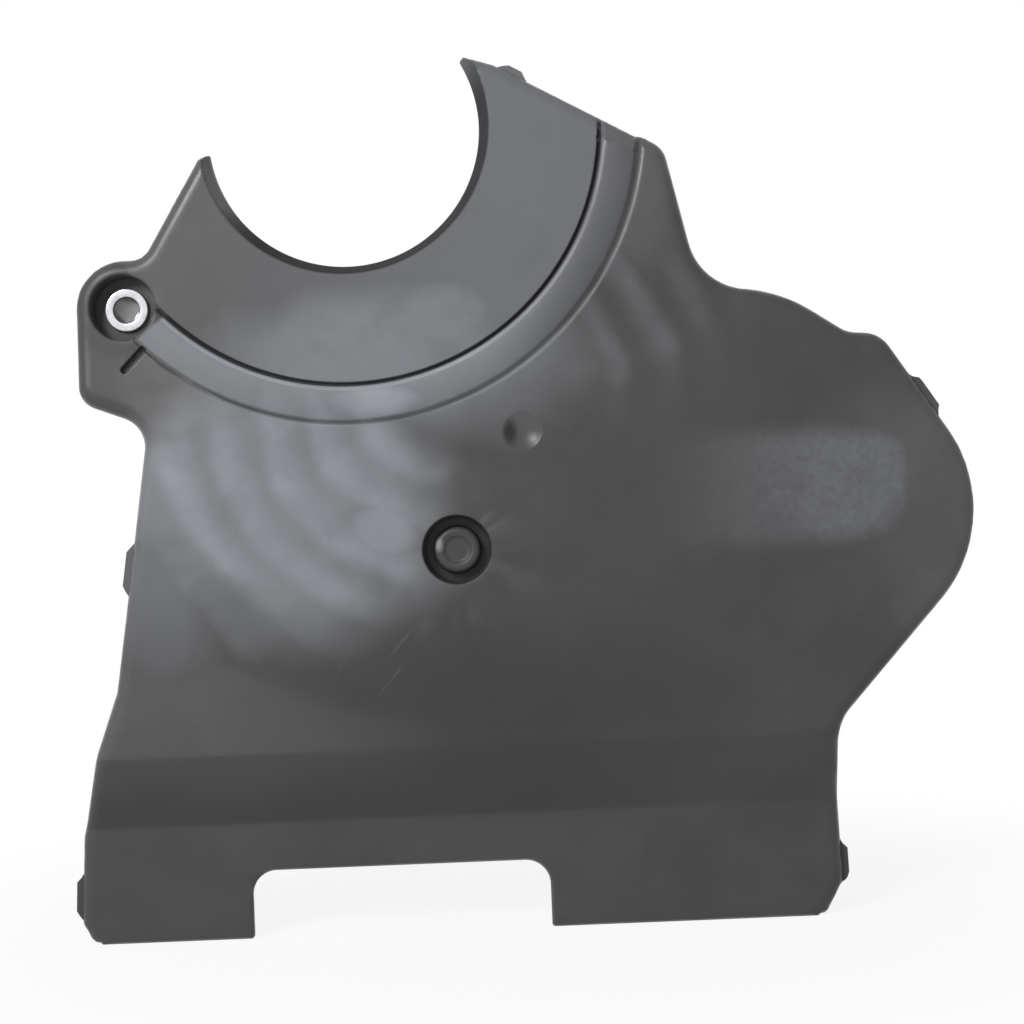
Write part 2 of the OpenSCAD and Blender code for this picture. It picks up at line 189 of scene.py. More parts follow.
class CoverOutline(bpy.types.PropertyGroup):
    """Corners of the cover seen from the front: across, up, and the rounding of the corner."""

    opening: length("Opening radius", "Radius of the pulley opening", 34.3)
    left_tip: angle("Left tip", "Bearing of the left horn's tip from the pulley axis", 189.5)
    left_tip_width: length("Left tip width", "Width of the left horn's tip", 2.9)
    left_turn: angle("Left turn", "Turn from the left tip to where its end points", 20)
    tip_round: length("Tip rounding", "Rounding of the left horn's tip", 1)
    right_tip: angle("Right tip", "Bearing of the right horn's tip from the pulley axis", 28.7)
    right_tip_width: length("Right tip width", "Width of the right horn's tip", 1.15)
    right_turn: angle("Right turn", "Turn from the right tip to where its end points", 5)
    horn_root: place("Horn root", "Where the left horn meets the lug", -51.4, -30.8, 5.5)
    lug_top: place("Lug top", "Outer top corner of the lug", -68.6, -30.8, 12.2)
    heel: place("Heel", "Outer lower corner of the lug", -68.6, -66.2, 6)
    lug_root: place("Lug root", "Inner corner under the lug", -51.65, -72.8, 7.5)
    flare_top: place("Flare top", "Start of the flare to the left foot", -62, -139, 8)
    flare_end: place("Flare end", "End of the flare to the left foot", -67.5, -154.2, 8)
    flange_top: place("Flange top", "Start of the straight edge of the left foot", -73.8, -176, 8)
    left_foot: place("Left foot", "Top of the left foot's cut corner", -74.9, -198.3, 2.2)
    left_sole: place("Left sole", "Lower corner of the left foot", -72, -203.3, 2.2)
    notch_left: place("Notch left", "Upper left corner of the notch", -31, -186.2, 6.3)
    notch_right: place("Notch right", "Upper right corner of the notch", 44.7, -186.2, 6.3)
    notch_mouth: length("Notch mouth", "Rounding of the notch's lower corners", 0.8)
    right_sole: place("Right sole", "Lower corner of the right foot", 114.7, -203.3, 2.2)
    right_foot: place("Right foot", "Top of the right foot's cut corner", 119.3, -194.9, 2.2)
    leg: length("Leg", "Right leg where it meets the lobe, across", 118.1)
    leg_root: length("Leg root", "Rounding between the right leg and the lobe", 12)
    lobe: place("Lobe", "Centre and radius of the right lobe", 119.48, -100.6, 35)
    lobe_low: angle("Lobe low side", "Direction that the edge below the lobe faces", -42.3)
    lobe_high: angle("Lobe high side", "Direction that the edge above the lobe faces", 33.4)
    shoulder: place("Shoulder", "Place across of the shoulder above the lobe, and its rounding", 132.6, 8)
    dip: place("Dip", "Dip beside the shoulder, counted from it", -8.3, 0.6, 8)
    upper_lobe: place("Upper lobe", "Round stretch between the dip and the throat", 108.2, -45.6, 38)
    throat: place("Throat", "Inner corner under the top right corner", 88, -43.2, 15.5)
    top_corner: place("Top corner", "Top right corner", 80.2, -8.5, 6.5)
    top_bend: place("Top bend", "Bend in the top edge", 38.5, 14.8, 10)


class CoverForm(bpy.types.PropertyGroup):
    """Heights, roundings and features of the moulding."""

    face: length("Face height", "Height of the flat face over the rim plane", 30)
    wall: length("Wall", "Wall thickness", 2.5)
    edge: length("Edge rounding", "Rounding of the front edge over the skirt", 3.5)
    low_edge: length("Lower edge rounding", "Rounding of the lower edge and the notch", 0.9)
    mouth_edge: length("Mouth rounding", "Rounding of the mouths of the pocket and the gate well", 0.4)
    fillet: length("Fillet", "Rounding between a wall and the back of the face", 0.8)
    draft: length("Draft", "How far a steep wall leans from its foot to its top", 0.2)
    crown: length("Crown", "Rise of the crowned field over the flat face", 3)
    crown_at: place("Crown centre", "Centre of the crowned field", 39, -2)
    lug_fade: number("Lug fade", "Rise of the field for each length away from the lug", 0.07)
    bend: length("Bend", "Where the face starts to step down", -156)
    slope: length("Slope", "Height of the sloping band below the bend", 17.6)
    step: length("Step", "Step down from the face to the lap flange", 9)
    bend_soft: length("Bend rounding", "Half width of the rounding at each bend", 1.6)
    lip: place("Lip taper", "Width and depth of the steep taper round the opening", 2.2, 5)
    lip_depth: length("Lip depth", "Depth of the lip round the opening", 7)
    opening_clear: length("Opening clearance", "Width of the skirt cut away behind the lip", 6)
    band_in: length("Band inside", "Inner radius of the raised band", 65)
    band_out: length("Band outside", "Outer radius of the raised band", 73.7)
    band: length("Band height", "Height of the band over the plate", 1.8)
    band_curve: length("Band curve", "Radius of the band's rounded section", 15)
    band_crest: number("Band crest", "Place of the band's crest, as a share of its width", 0.4)
    band_edge: length("Band edge", "Rounding of the band's inner edge", 0.75)
    field_edge: length("Field edge", "Rounding of the field's edge along the band", 3)
    crease: length("Crease width", "Width of the crease inside the band", 1.1)
    crease_depth: length("Crease depth", "Depth of the crease inside the band", 0.9)
    lug: place("Lug centre", "Centre of the screw lug, and its radius", -56.4, -43, 12.2)
    pocket: length("Pocket radius", "Radius of the screw pocket", 8.3)
    pocket_depth: length("Pocket depth", "Depth of the screw pocket", 6)
    seat: length("Sleeve seat", "Radius of the hole for the sleeve", 4.55)
    boss: length("Boss radius", "Outer radius of the screw boss", 7.05)
    gate: place("Gate", "Centre of the gate well, and its radius", 24.7, -106.7, 8.5)
    gate_depth: length("Gate depth", "Depth of the gate well", 5)
    gate_taper: length("Gate taper", "Narrowing of the gate well to its floor", 0.6)
    stub: length("Stub radius", "Radius of the gate stub", 5.9)
    stub_height: length("Stub height", "Height of the gate stub over the well's floor", 3.4)
    stub_edge: length("Stub rounding", "Rounding of the stub's top", 1.3)
    stub_dish: length("Stub dish", "Depth of the dish in the stub's top", 0.5)
    dimple: place("Dimple", "Centre of the dimple, and its radius", 42.2, -77.8, 4.8)
    dimple_depth: length("Dimple depth", "Depth of the dimple", 1.3)
    slit_at: length("Slit place", "Distance of the slit's middle from the pulley axis", 78)
    slit_bearing: angle("Slit bearing", "Bearing of the slit from the pulley axis", 226.1)
    slit: place("Slit", "Length, width and depth of the slit", 8.6, 2, 1.8)
    tab: place("Tab", "How far a tab stands out from the skirt, and its height", 1.8, 8)


class SleeveForm(bpy.types.PropertyGroup):
    """Sizes of the headed steel sleeve in the screw lug."""

    head: length("Head radius", "Outer radius of the head", 5.5)
    head_thickness: length("Head thickness", "Thickness of the head", 1.2)
    tube: length("Tube radius", "Outer radius of the tube", 4.5)
    bore: length("Bore radius", "Radius of the bore", 3.25)
    edge: length("Edge rounding", "Rounding of the sleeve's edges", 0.4)
    root: length("Root rounding", "Rounding of the corner between head and tube", 0.05)


class CoverFinish(bpy.types.PropertyGroup):
    """Colours and shine of the finishes and of the studio."""

    plastic: colour("Plastic", "Charcoal of the moulding", 0.059, 0.056, 0.057)
    # Lighter grey of the flow marks and the pad, and also of the painted highlight on the face
    haze_and_highlight: colour("Haze", "Lighter grey of the flow marks", 0.265, 0.282, 0.306)
    # Darker grey of random cloudy patches, and of the painted shade on the lip, in the crease and the valley, in
    # the gate's moat, on the slope, beside the dimple and over the low field
    dark: colour("Dark", "Darker grey of the lip and of dull patches", 0.012, 0.012, 0.013)
    satin: span("Satin", "Roughness of the clear plastic and of the haze", 0.3, 0.45)
    sheen: number("Sheen", "Specular level of the plastic", 0.3)
    grain: span("Grain", "Strength of the moulded grain and its scale per millimetre", 0.12, 1.5)
    grain_depth: length("Grain depth", "Depth of the moulded grain", 0.4)
    rings: length("Flow rings", "Distance from one flow mark to the next", 12)
    rings_at: place("Flow centre", "Centre of the flow marks on the face, across and up", 22, -69)
    rays: number("Rays", "How close the streaks about the gate lie", 4)
    # The lip's ring is matt and carries painted shade
    lip_bearing: angle("Lip bearing", "Bearing of the dull ring's middle on the opening's lip", -60)
    lip_matt_and_shade_level: number("Lip dullness", "Strength of the dull ring on the opening's lip", 0.88)
    scratch_turn: angle("Scratch turn", "Turn of the scratches from upright", 42)
    scratch: place("Scratch", "Width and length of the scratches", 1.2, 20)
    zinc: colour("Zinc", "Bright plating of the sleeve", 0.72, 0.73, 0.76)
    dull_zinc: colour("Dull zinc", "Clouded plating of the sleeve", 0.58, 0.59, 0.61)
    bore: colour("Bore", "Dull steel inside the sleeve's bore", 0.27, 0.27, 0.28)
    plating: span("Plating", "Roughness of the bright and of the clouded plating", 0.1, 0.24)
    bore_rough: number("Bore roughness", "Roughness that the bore has more than the plating", 0.25)
    metal: number("Metal", "Metallic share of the plating", 0.85)
    studio: colour("Studio", "Pale floor and backdrop", 0.90, 0.90, 0.90)
    paper_rough: number("Paper roughness", "Roughness of the studio paper", 0.9)


class CoverStudio(bpy.types.PropertyGroup):
    """Camera, light and paper."""

    aim: place("Aim", "Place that the camera looks at", 38.7, -28, -97.9)
    distance: length("Distance", "Distance of the camera from its aim", 448.4)
    tilt: angle("Tilt", "How far the camera stands above its aim", -0.76)
    roll: angle("Roll", "Turn of the camera about its own axis", -2.35)
    lens: number("Lens", "Focal length in millimetres", 63)
    ambient: number("Ambient", "Strength of the even light from all round", 0.30)
    key_at: place("Key place", "Place of the key light", -470, -810, 380)
    key_aim: place("Key aim", "Place that the key light faces", 10, -30, -80)
    key_size: length("Key size", "Side of the key light", 320)
    key_energy: number("Key energy", "Power of the key light in watts", 8.2)
    sweep: length("Sweep", "Radius of the paper's bend behind the cover", 600)
    depth: length("Depth", "Where the paper starts to bend, behind the cover", 700)
    reach: length("Reach", "How far the paper reaches", 4000)
    shadow: place("Shadow", "Distances from the feet between which the shadow fades from view", 80, 240)
    shadow_white: number("Shadow white", "Share of plain white in the paper at the feet", 0.88)


# Plane curves

def bearing(angle_):
    """The unit vector at an angle from the x axis, or one for each of many angles."""
    return np.stack([np.cos(angle_), np.sin(angle_)], -1)


def unit(vectors):
    """A vector, or each of many, scaled to length one."""
    return vectors / np.hypot(*vectors.T)[..., None]


def left_of(vectors):
    """A vector, or each of many, turned by a quarter turn to the left."""
    return np.stack([-vectors[..., 1], vectors[..., 0]], -1)


def away(points, spot=(0, 0)):
    """Distance of each point from a spot, or from the pulley axis."""
    return np.hypot(*(points - np.array(spot[:2])).T)


def spaced(start, end, gap):
    """Points from start up to, and without, end, evenly spaced and no further apart than gap."""
    count = max(1, math.ceil(np.hypot(*(end - start)) / gap))
    share = np.arange(count) / count
    return start + share[:, None] * (end - start)


def rounded_chain(corners, gap, turn_step):
    """A chain through corners (x, y, rounding): each inner corner is the arc that touches both of
    its sides, whose centre lies at rounding / cos(half the turn) from the corner, on its bisector."""
    corners = np.array(corners, float)
    spots = corners[:, :2]
    pieces = []
    last = spots[0]
    for before, spot, after, radius in zip(spots[:-2], spots[1:-1], spots[2:], corners[1:-1, 2]):
        u, v = unit(spot - before), unit(after - spot)
        turn = math.atan2(left_of(u) @ v, u @ v)
        reach = radius * math.tan(abs(turn) / 2)
        side = math.copysign(1, turn) * left_of(u)
        centre = spot - reach * u + radius * side
        steps = max(2, math.ceil(abs(turn) / turn_step), math.ceil(abs(turn) * radius / gap))
        first = math.atan2(-side[1], -side[0])
        arc = centre + radius * bearing(first + turn * np.arange(steps + 1) / steps)
        pieces += [spaced(last, arc[0], gap), arc[:-1]]
        last = arc[-1]
    pieces += [spaced(last, spots[-1], gap), spots[-1:]]
    return np.concatenate(pieces)


def with_crossings(chain, radius):
    """The chain with a point added wherever it crosses a circle about the pulley axis."""
    r = away(chain) - radius
    cut = np.flatnonzero(r[:-1] * r[1:] < 0)
    share = r[cut] / (r[cut] - r[cut + 1])
    return np.insert(chain, cut + 1, chain[cut] + share[:, None] * (chain[cut + 1] - chain[cut]), axis=0)


def in_parts(points, most_points=2000):
    """The points in parts that keep the tables of points against edges small."""
    return np.array_split(points, max(1, len(points) // most_points))


def distance_to(points, chain):
    """Distance of each point from an open chain: the least over its stretches, where each
    stretch's nearest place is the point's share along it, held between 0 and 1."""
    start, along = chain[:-1], np.diff(chain, axis=0)
    square = np.maximum((along ** 2).sum(1), TINY ** 2)
    nearest = []
    for some in in_parts(points):
        offset = some[:, None] - start
        share = np.clip((offset * along).sum(2) / square, 0, 1)
        gap = offset - share[..., None] * along
        nearest.append(np.sqrt((gap ** 2).sum(2).min(1)))
    return np.concatenate(nearest)


def inside(points, loop):
    """Whether each point lies inside a closed loop: a ray to the right crosses it an odd number of times."""
    a, b = loop, np.roll(loop, -1, axis=0)
    found = []
    for some in in_parts(points):
        x, y = some[:, :1], some[:, 1:]
        spans = (a[:, 1] > y) != (b[:, 1] > y)
        rise = np.where(b[:, 1] == a[:, 1], 1, b[:, 1] - a[:, 1])
        at = a[:, 0] + (y - a[:, 1]) * (b[:, 0] - a[:, 0]) / rise
        found.append((spans & (x < at)).sum(1) % 2 == 1)
    return np.concatenate(found)


def ring(centre, radius, count):
    """Points of a circle, evenly spaced."""
    return np.asarray(centre)[:2] + radius * bearing(np.arange(count) * 2 * math.pi / count)


# Heights

def fall(distance, radius):
    """Drop of a rounded edge at a distance inside it: a quarter circle, nothing past its radius."""
    left = radius - np.clip(distance, 0, radius)
    return radius - np.sqrt(np.maximum(radius ** 2 - left ** 2, 0))


def ramp(value, low, high):
    """Share of the way from low to high, held between 0 and 1."""
    return np.clip((value - low) / (high - low), 0, 1)


def soft_ramp(value, soft):
    """Zero below 0, the value itself above 0, joined by a parabola that is soft wide on each side."""
    bent = (value + soft) ** 2 / (4 * soft)
    return np.where(value < -soft, 0, np.where(value > soft, value, bent))


class Surface:
    """Front and back heights of the moulding at places (x, y), worked out from its sizes."""

    gap = 1.25 * MM
    turn_step = math.radians(7)

    def __init__(self, outline, form):
        self.form = form
        self.outline = outline
        self.opening = outline.opening
        self.clear = outline.opening + form.opening_clear
        self.sole = outline.left_sole[1]
        self._chains()

    def _chains(self):
        """The outline as chains: two skirt edges, the lower edge between them, and the opening's arc."""
        o = self.outline
        left_tip = (self.opening + o.left_tip_width) * bearing(o.left_tip)
        right_tip = (self.opening + o.right_tip_width) * bearing(o.right_tip)
        left_end = self._end(left_tip, o.left_tip - o.left_turn)
        right_end = self._end(right_tip, o.right_tip - o.right_turn)
        middle = (o.lobe_low + o.lobe_high) / 2
        reach = o.lobe[2] / math.cos((o.lobe_high - o.lobe_low) / 2)
        lobe = np.array(o.lobe[:2]) + reach * bearing(middle)
        leg_root = (o.leg, self._beside_lobe(o.leg, o.lobe_low), o.leg_root)
        shoulder = (o.shoulder[0], self._beside_lobe(o.shoulder[0], o.lobe_high), o.shoulder[1])
        dip = (shoulder[0] + o.dip[0], shoulder[1] + o.dip[1], o.dip[2])
        left = [(*left_end, 0), (*left_tip, o.tip_round), o.horn_root, o.lug_top, o.heel, o.lug_root,
                o.flare_top, o.flare_end, o.flange_top, o.left_foot, o.left_sole]
        low = [(o.notch_left[0], self.sole, o.notch_mouth), o.notch_left, o.notch_right,
               (o.notch_right[0], self.sole, o.notch_mouth)]
        right = [o.right_sole, o.right_foot, leg_root, (*lobe, o.lobe[2]), shoulder, dip, o.upper_lobe,
                 o.throat, o.top_corner, o.top_bend, (*right_tip, o.right_tip_width / 3), (*right_end, 0)]
        whole = rounded_chain(left + low + right, self.gap, self.turn_step)
        for radius in (self.clear, self.clear + self.form.draft):
            whole = with_crossings(whole, radius)
        start, stop = math.atan2(right_end[1], right_end[0]), math.atan2(left_end[1], left_end[0])
        turn = (start - stop) % (2 * math.pi)
        count = math.ceil(turn * self.opening / self.gap)
        arc = self.opening * bearing(start - turn * np.arange(1, count) / count)
        self.loop = np.concatenate([whole, arc])
        first, last = np.flatnonzero(np.abs(whole[:, 1] - self.sole) < TINY)[[0, -1]]
        self.skirts = [whole[: first + 1], whole[last:]]
        self.low = whole[first: last + 1]

    def _end(self, tip, facing):
        """Where the line from a horn's tip to half the opening's radius at a bearing meets the opening:
        the larger root of a quadratic for the share of the line that is left."""
        inner = self.opening / 2 * bearing(facing)
        along = tip - inner
        a, b, c = along @ along, inner @ along, inner @ inner - self.opening ** 2
        return inner + (-b + math.sqrt(b * b - a * c)) / a * along

    def _beside_lobe(self, x, facing):
        """Height at x of the line that touches the lobe where it faces a direction."""
        o = self.outline
        return o.lobe[1] + (o.lobe[2] - (x - o.lobe[0]) * math.cos(facing)) / math.sin(facing)

    def skirt_distance(self, p):
        """Distance from the nearer of the two skirt edges."""
        return np.minimum(*(distance_to(p, chain) for chain in self.skirts))

    def crown(self, p):
        """Ball that ends at the bend, faded towards the lug and rounded off along the band."""
        f = self.form
        reach = f.crown_at[1] - f.bend
        ball = (reach ** 2 + f.crown ** 2) / (2 * f.crown)
        square = ((p - np.array(f.crown_at)) ** 2).sum(1)
        rise = f.crown - ball + np.sqrt(ball ** 2 - square)
        rise = np.minimum(rise, f.lug_fade * (away(p, f.lug) - f.lug[2]))
        left = np.clip(f.band_out + f.field_edge - away(p), 0, f.field_edge)
        edge = np.sqrt(f.field_edge ** 2 - left ** 2)
        return np.maximum(np.minimum(rise, edge), 0)

    def stepped(self, p):
        """Drop to the lap flange: a straight slope, rounded at both of its bends."""
        f = self.form
        down = f.bend - p[:, 1]
        steep = f.step / f.slope
        return steep * (soft_ramp(down, f.bend_soft) - soft_ramp(down - f.slope, f.bend_soft))

    def past_lug(self, p):
        """Whether a place lies on the bearings where the band runs, past the lug."""
        return p @ left_of(np.array(self.form.lug[:2])) > 0

    def band(self, p):
        """Rounded band round the plate: an arc of a circle in section, with a rounded inner edge."""
        f = self.form
        r = away(p)
        crest = f.band_in + f.band_crest * (f.band_out - f.band_in)
        arc = f.band - f.band_curve + np.sqrt(np.maximum(f.band_curve ** 2 - (r - crest) ** 2, 0))
        arc = arc - fall(r - f.band_in, f.band_edge)
        on = (r >= f.band_in) & (r < f.band_out + f.band_edge) & self.past_lug(p)
        return np.where(on, np.maximum(arc, 0), 0)

    def crease(self, p):
        """Narrow valley just inside the band, half a cosine wide."""
        f = self.form
        share = np.clip((away(p) - f.band_in + f.crease / 2) / (f.crease / 2), -1, 1)
        depth = f.crease_depth * (1 + np.cos(math.pi * share)) / 2
        return np.where(self.past_lug(p), depth, 0)

    def slit_distance(self, p):
        """Distance from the slit's rounded side, negative inside it."""
        f = self.form
        along = bearing(f.slit_bearing)
        offset = p - f.slit_at * along
        half = (f.slit[0] - f.slit[1]) / 2
        u = np.clip(offset @ along, -half, half)
        return away(offset - u[:, None] * along) - f.slit[1] / 2

    def front(self, p):
        """Height of the front surface: face, crown, band and step, less the rounded edges and recesses."""
        f = self.form
        skirt = self.skirt_distance(p)
        band = np.minimum(self.band(p), np.maximum(skirt - f.edge, 0))
        z = f.face + np.maximum(self.crown(p), band) - self.stepped(p) - self.crease(p)
        ball = (f.dimple[2] ** 2 + f.dimple_depth ** 2) / (2 * f.dimple_depth)
        bowl = f.dimple_depth - ball + np.sqrt(np.maximum(ball ** 2 - away(p, f.dimple) ** 2, 0))
        z = z - soft_ramp(bowl, f.draft)
        slit = self.slit_distance(p)
        z = z - f.slit[2] * ramp(slit, 0, -f.draft) - np.where(slit > 0, fall(slit, f.draft), 0)
        z = self._gate(p, z)
        z = z - np.maximum.reduce([
            fall(skirt, f.edge),
            fall(distance_to(p, self.low), f.low_edge),
            f.lip[1] / f.lip[0] * soft_ramp(self.opening + f.lip[0] - away(p), f.draft),
        ])
        return self._pocket(p, z)

    def _well(self, z, r, radius, lean, floor):
        """The surface with a round well: a wall that leans from its floor to a rounded mouth."""
        soft = self.form.mouth_edge
        wall = floor + (z - soft - floor) * ramp(r, radius - lean, radius)
        return np.where(r < radius, wall, z - fall(r - radius, soft))

    def _gate(self, p, z):
        """Tapered well, and on its floor a rounded stub with a dished top."""
        f = self.form
        r = away(p, f.gate)
        floor = f.face - f.gate_depth
        well = self._well(z, r, f.gate[2], f.gate_taper, floor)
        top = f.stub_height - fall(f.stub - r, f.stub_edge)
        top = top - f.stub_dish * (1 - ramp(r, DISH[0] * f.stub, DISH[1] * f.stub))
        side = (f.stub_height - f.stub_edge) * ramp(r, f.stub + f.draft, f.stub)
        return np.where(r < f.stub, floor + top, np.where(r < f.stub + f.draft, floor + side, well))

    def _pocket(self, p, z):
        """Round screw pocket with a drafted wall."""
        f = self.form
        return self._well(z, away(p, f.lug), f.pocket, f.draft, f.face - f.pocket_depth)

    def back(self, p):
        """Height of the back surface: the ceiling a wall under the face, lowered to the rim of the
        skirt, the lip, the gate's cup and the screw boss, and left open at the lower mouth."""
        f = self.form
        ceiling = f.face + self.crown(p) - self.stepped(p) - f.wall
        r, lug, lip = away(p), away(p, f.lug), f.face - f.lip_depth
        pads = [
            (self.skirt_distance(p) - f.wall, 0),
            (r - self.opening - f.wall, lip),
            (away(p, f.gate) - f.gate[2] - f.wall, f.face - f.gate_depth - f.wall),
            (lug - f.pocket - f.wall, f.face - f.pocket_depth - f.wall),
        ]
        z = np.minimum.reduce([self._pad(ceiling, *pad) for pad in pads])
        z = np.minimum(z, self._pad(z, lug - f.boss, 0))
        return np.maximum(z, lip * ramp(r, self.clear + f.draft, self.clear))

    def _pad(self, ceiling, outside, level):
        """A flat pad at a level where outside is negative, its drafted wall, and a fillet at the ceiling."""
        f = self.form
        wall = level + (ceiling - f.fillet - level) * ramp(outside, 0, f.draft)
        return np.where(outside < f.draft, wall, ceiling - fall(outside - f.draft, f.fillet))


# Nets

class Net:
    """Points in the plane, added in order of rank: a later set keeps clear of the earlier ones."""

    cell = 0.25 * MM
    margin = 4 * MM
    # What the triangulation keeps, the triangles inside its edges, and how near it takes points as one
    kept, weld = 1, 1e-6

    def __init__(self, loop, holes):
        self.loop = loop
        self.holes = holes
        self.low = loop.min(0) - self.margin
        shape = np.ceil((loop.max(0) + self.margin - self.low) / self.cell).astype(int)
        self.taken = np.zeros(shape, bool)
        self.sets = []
        for chain in [loop, *holes]:
            self._keep(chain)

    def _keep(self, points):
        """Adds points as they are, and marks the cells they lie in."""
        self.sets.append(points)
        self.taken[self._cells(points)] = True

    def _cells(self, points):
        """Row and column of the cell of each point."""
        return tuple(((points - self.low) / self.cell).astype(int).T)

    def _near(self, points, gap):
        """Whether a cell within gap of each point is taken: a box sum over the marked cells."""
        reach = max(0, round(gap / self.cell))
        total = np.pad(self.taken.astype(np.int32), ((1, 0), (1, 0))).cumsum(0).cumsum(1)
        (i0, i1), (j0, j1) = (
            (np.clip(k - reach, 0, top), np.clip(k + reach + 1, 0, top))
            for k, top in zip(self._cells(points), self.taken.shape)
        )
        return total[i1, j1] - total[i0, j1] - total[i1, j0] + total[i0, j0] > 0

    def add(self, points, clear=0):
        """Adds the points that lie inside the loop, outside the holes and clear of earlier sets."""
        keep = inside(points, self.loop)
        for hole in self.holes:
            keep &= ~inside(points, hole)
        points = points[keep]
        if clear:
            points = points[~self._near(points, clear)]
        self._keep(points)

    def rings(self, centre, radii, count=ROUND):
        """Adds circles about a centre."""
        for radius in radii:
            self.add(ring(centre, radius, count))

    def triangles(self):
        """All points, and the triangles of their Delaunay net inside the loop and outside the holes."""
        points = np.concatenate(self.sets)
        edges, at = [], 0
        for chain in [self.loop, *self.holes]:
            index = at + np.arange(len(chain))
            edges += np.stack([index, np.roll(index, -1)], 1).tolist()
            at += len(chain)
        scaled = [Vector(p) for p in (points / MM).tolist()]
        result = delaunay_2d_cdt(scaled, edges, [], self.kept, self.weld)
        origin = np.array([ids[0] for ids in result[3]])
        faces = origin[np.array(result[2])]
        for hole in self.holes:
            faces = faces[~inside(points[faces].mean(1), hole)]
        a, b, c = (points[faces[:, k]] for k in range(3))
        area = (left_of(b - a) * (c - a)).sum(1)
        return points, np.where(area[:, None] < 0, faces[:, ::-1], faces)


def edge_rings(distances, chain, slack=0.02 * MM):
    """Points carried inwards from a chain by each distance, kept where nothing else is nearer."""
    normal = left_of(unit(np.gradient(chain, axis=0)))
    rows_ = []
    for distance in distances:
        moved = chain + distance * normal
        rows_.append(moved[distance_to(moved, chain) > distance - slack])
    return np.concatenate(rows_)


def quarter(radius, steps):
    """Distances from an edge at which even steps of its quarter circle lie."""
    return radius * (1 - np.cos(np.arange(1, steps + 1) * math.pi / 2 / steps))


def hex_grid(low, high, gap):
    """Points of a triangular grid over a box."""
    y = np.arange(low[1], high[1], gap * math.sqrt(3) / 2)
    x = np.arange(low[0], high[0], gap)
    grid = np.stack(np.meshgrid(x, y), 2)
    grid[1::2, :, 0] += gap / 2
    return grid.reshape(-1, 2)


def arcs(radii, gap):
    """Circles about the pulley axis, with points no further apart than gap."""
    count = math.ceil(2 * math.pi * max(radii) / gap)
    return np.concatenate([ring((0, 0), radius, count) for radius in radii])


def bend_rows(surface, shares, gap):
    """Level rows of points across both bends, at shares of the bends' rounding."""
    f = surface.form
    x = np.arange(surface.loop[:, 0].min(), surface.loop[:, 0].max(), gap)
    soft = f.bend_soft * np.asarray(shares)
    heights = [*(f.bend + soft), *(f.bend - f.slope + soft)]
    return np.concatenate([np.stack([x, np.full_like(x, y)], 1) for y in heights])


def slit_rings(f):
    """Rounded slots about the slit, from its middle to just outside its mouth."""
    along = bearing(f.slit_bearing)
    half = (f.slit[0] - f.slit[1]) / 2
    cap = bearing(np.linspace(-math.pi / 2, math.pi / 2, 13))
    flat = np.linspace(half, -half, 8)[1:-1]
    rows_ = []
    for radius in f.slit[1] / 2 + f.draft * SLIT_NET:
        far = radius * cap + (half, 0)
        line = np.stack([flat, np.full_like(flat, radius)], 1)
        rows_.append(np.concatenate([far, line, -far, -line]))
    local = np.concatenate(rows_)
    return f.slit_at * along + local[:, :1] * along + local[:, 1:] * left_of(along)


def front_net(surface, seat):
    """Net of the front: rings at every edge, recess and band, then a triangular grid between them."""
    f = surface.form
    net = Net(surface.loop, [seat])
    mouth = quarter(f.mouth_edge, 4)
    net.rings(f.lug, [f.pocket - f.draft, f.pocket, *(f.pocket + mouth)])
    net.rings(f.gate, [f.stub, f.stub + f.draft, f.gate[2] - f.gate_taper, f.gate[2], *(f.gate[2] + mouth)])
    net.rings(f.gate, [*(f.stub - quarter(f.stub_edge, 5)), *(f.stub * DISH_NET)])
    net.rings(f.dimple, DIMPLE_NET * f.dimple[2], DIMPLE_ROUND)
    net.add(slit_rings(f))
    edge = [*quarter(f.edge, 7), f.edge + f.band / 2, f.edge + f.band]
    for chain in surface.skirts:
        net.add(edge_rings(edge, chain), clear=0.25 * MM)
    net.add(edge_rings(quarter(f.low_edge, 4), surface.low), clear=0.25 * MM)
    net.add(arcs(surface.opening + f.lip[0] * LIP_NET, gap=1.2 * MM), clear=0.1 * MM)
    crease = f.band_in - f.crease * CREASE_NET
    inner = f.band_in + quarter(f.band_edge, 4)
    top = np.linspace(f.band_in + 1.5 * MM, f.band_out - 0.5 * MM, 7)
    valley = f.band_out + f.field_edge * VALLEY_NET
    net.add(arcs([*crease, *inner, *top, *valley], gap=1.3 * MM), clear=0.3 * MM)
    net.add(bend_rows(surface, BEND_NET, gap=1.8 * MM), clear=0.6 * MM)
    net.add(hex_grid(surface.loop.min(0), surface.loop.max(0), gap=2 * MM), clear=1.0 * MM)
    return net


def back_net(surface, seat):
    """Net of the back: rings along the skirt's inner side, the lip, the cup and the boss."""
    f = surface.form
    net = Net(surface.loop, [seat])
    soft = np.array([0, f.draft, *(f.draft + quarter(f.fillet, 4))])
    for radius in (f.boss, f.pocket + f.wall):
        net.rings(f.lug, radius + soft)
    net.rings(f.gate, f.gate[2] + f.wall + soft)
    net.add(arcs([surface.clear, surface.clear + f.draft], gap=0.8 * MM))
    for chain in surface.skirts:
        net.add(edge_rings([f.wall / 2, *(f.wall + soft)], chain), clear=0.1 * MM)
    net.add(arcs(surface.opening + f.wall + soft, gap=1.3 * MM), clear=0.1 * MM)
    net.add(bend_rows(surface, [-1, 0, 1], gap=2.4 * MM), clear=0.8 * MM)
    field = f.band_out + f.field_edge * np.array([0, 0.1, 0.35, 1.0])
    net.add(arcs(field, gap=2 * MM), clear=0.6 * MM)
    net.add(hex_grid(surface.loop.min(0), surface.loop.max(0), gap=3 * MM), clear=1.2 * MM)
    return net


# Meshes

def upright(points):
    """Turns lying places (x, y, z) so that the face looks along -Y."""
    return np.stack([points[:, 0], -points[:, 2], points[:, 1]], 1)


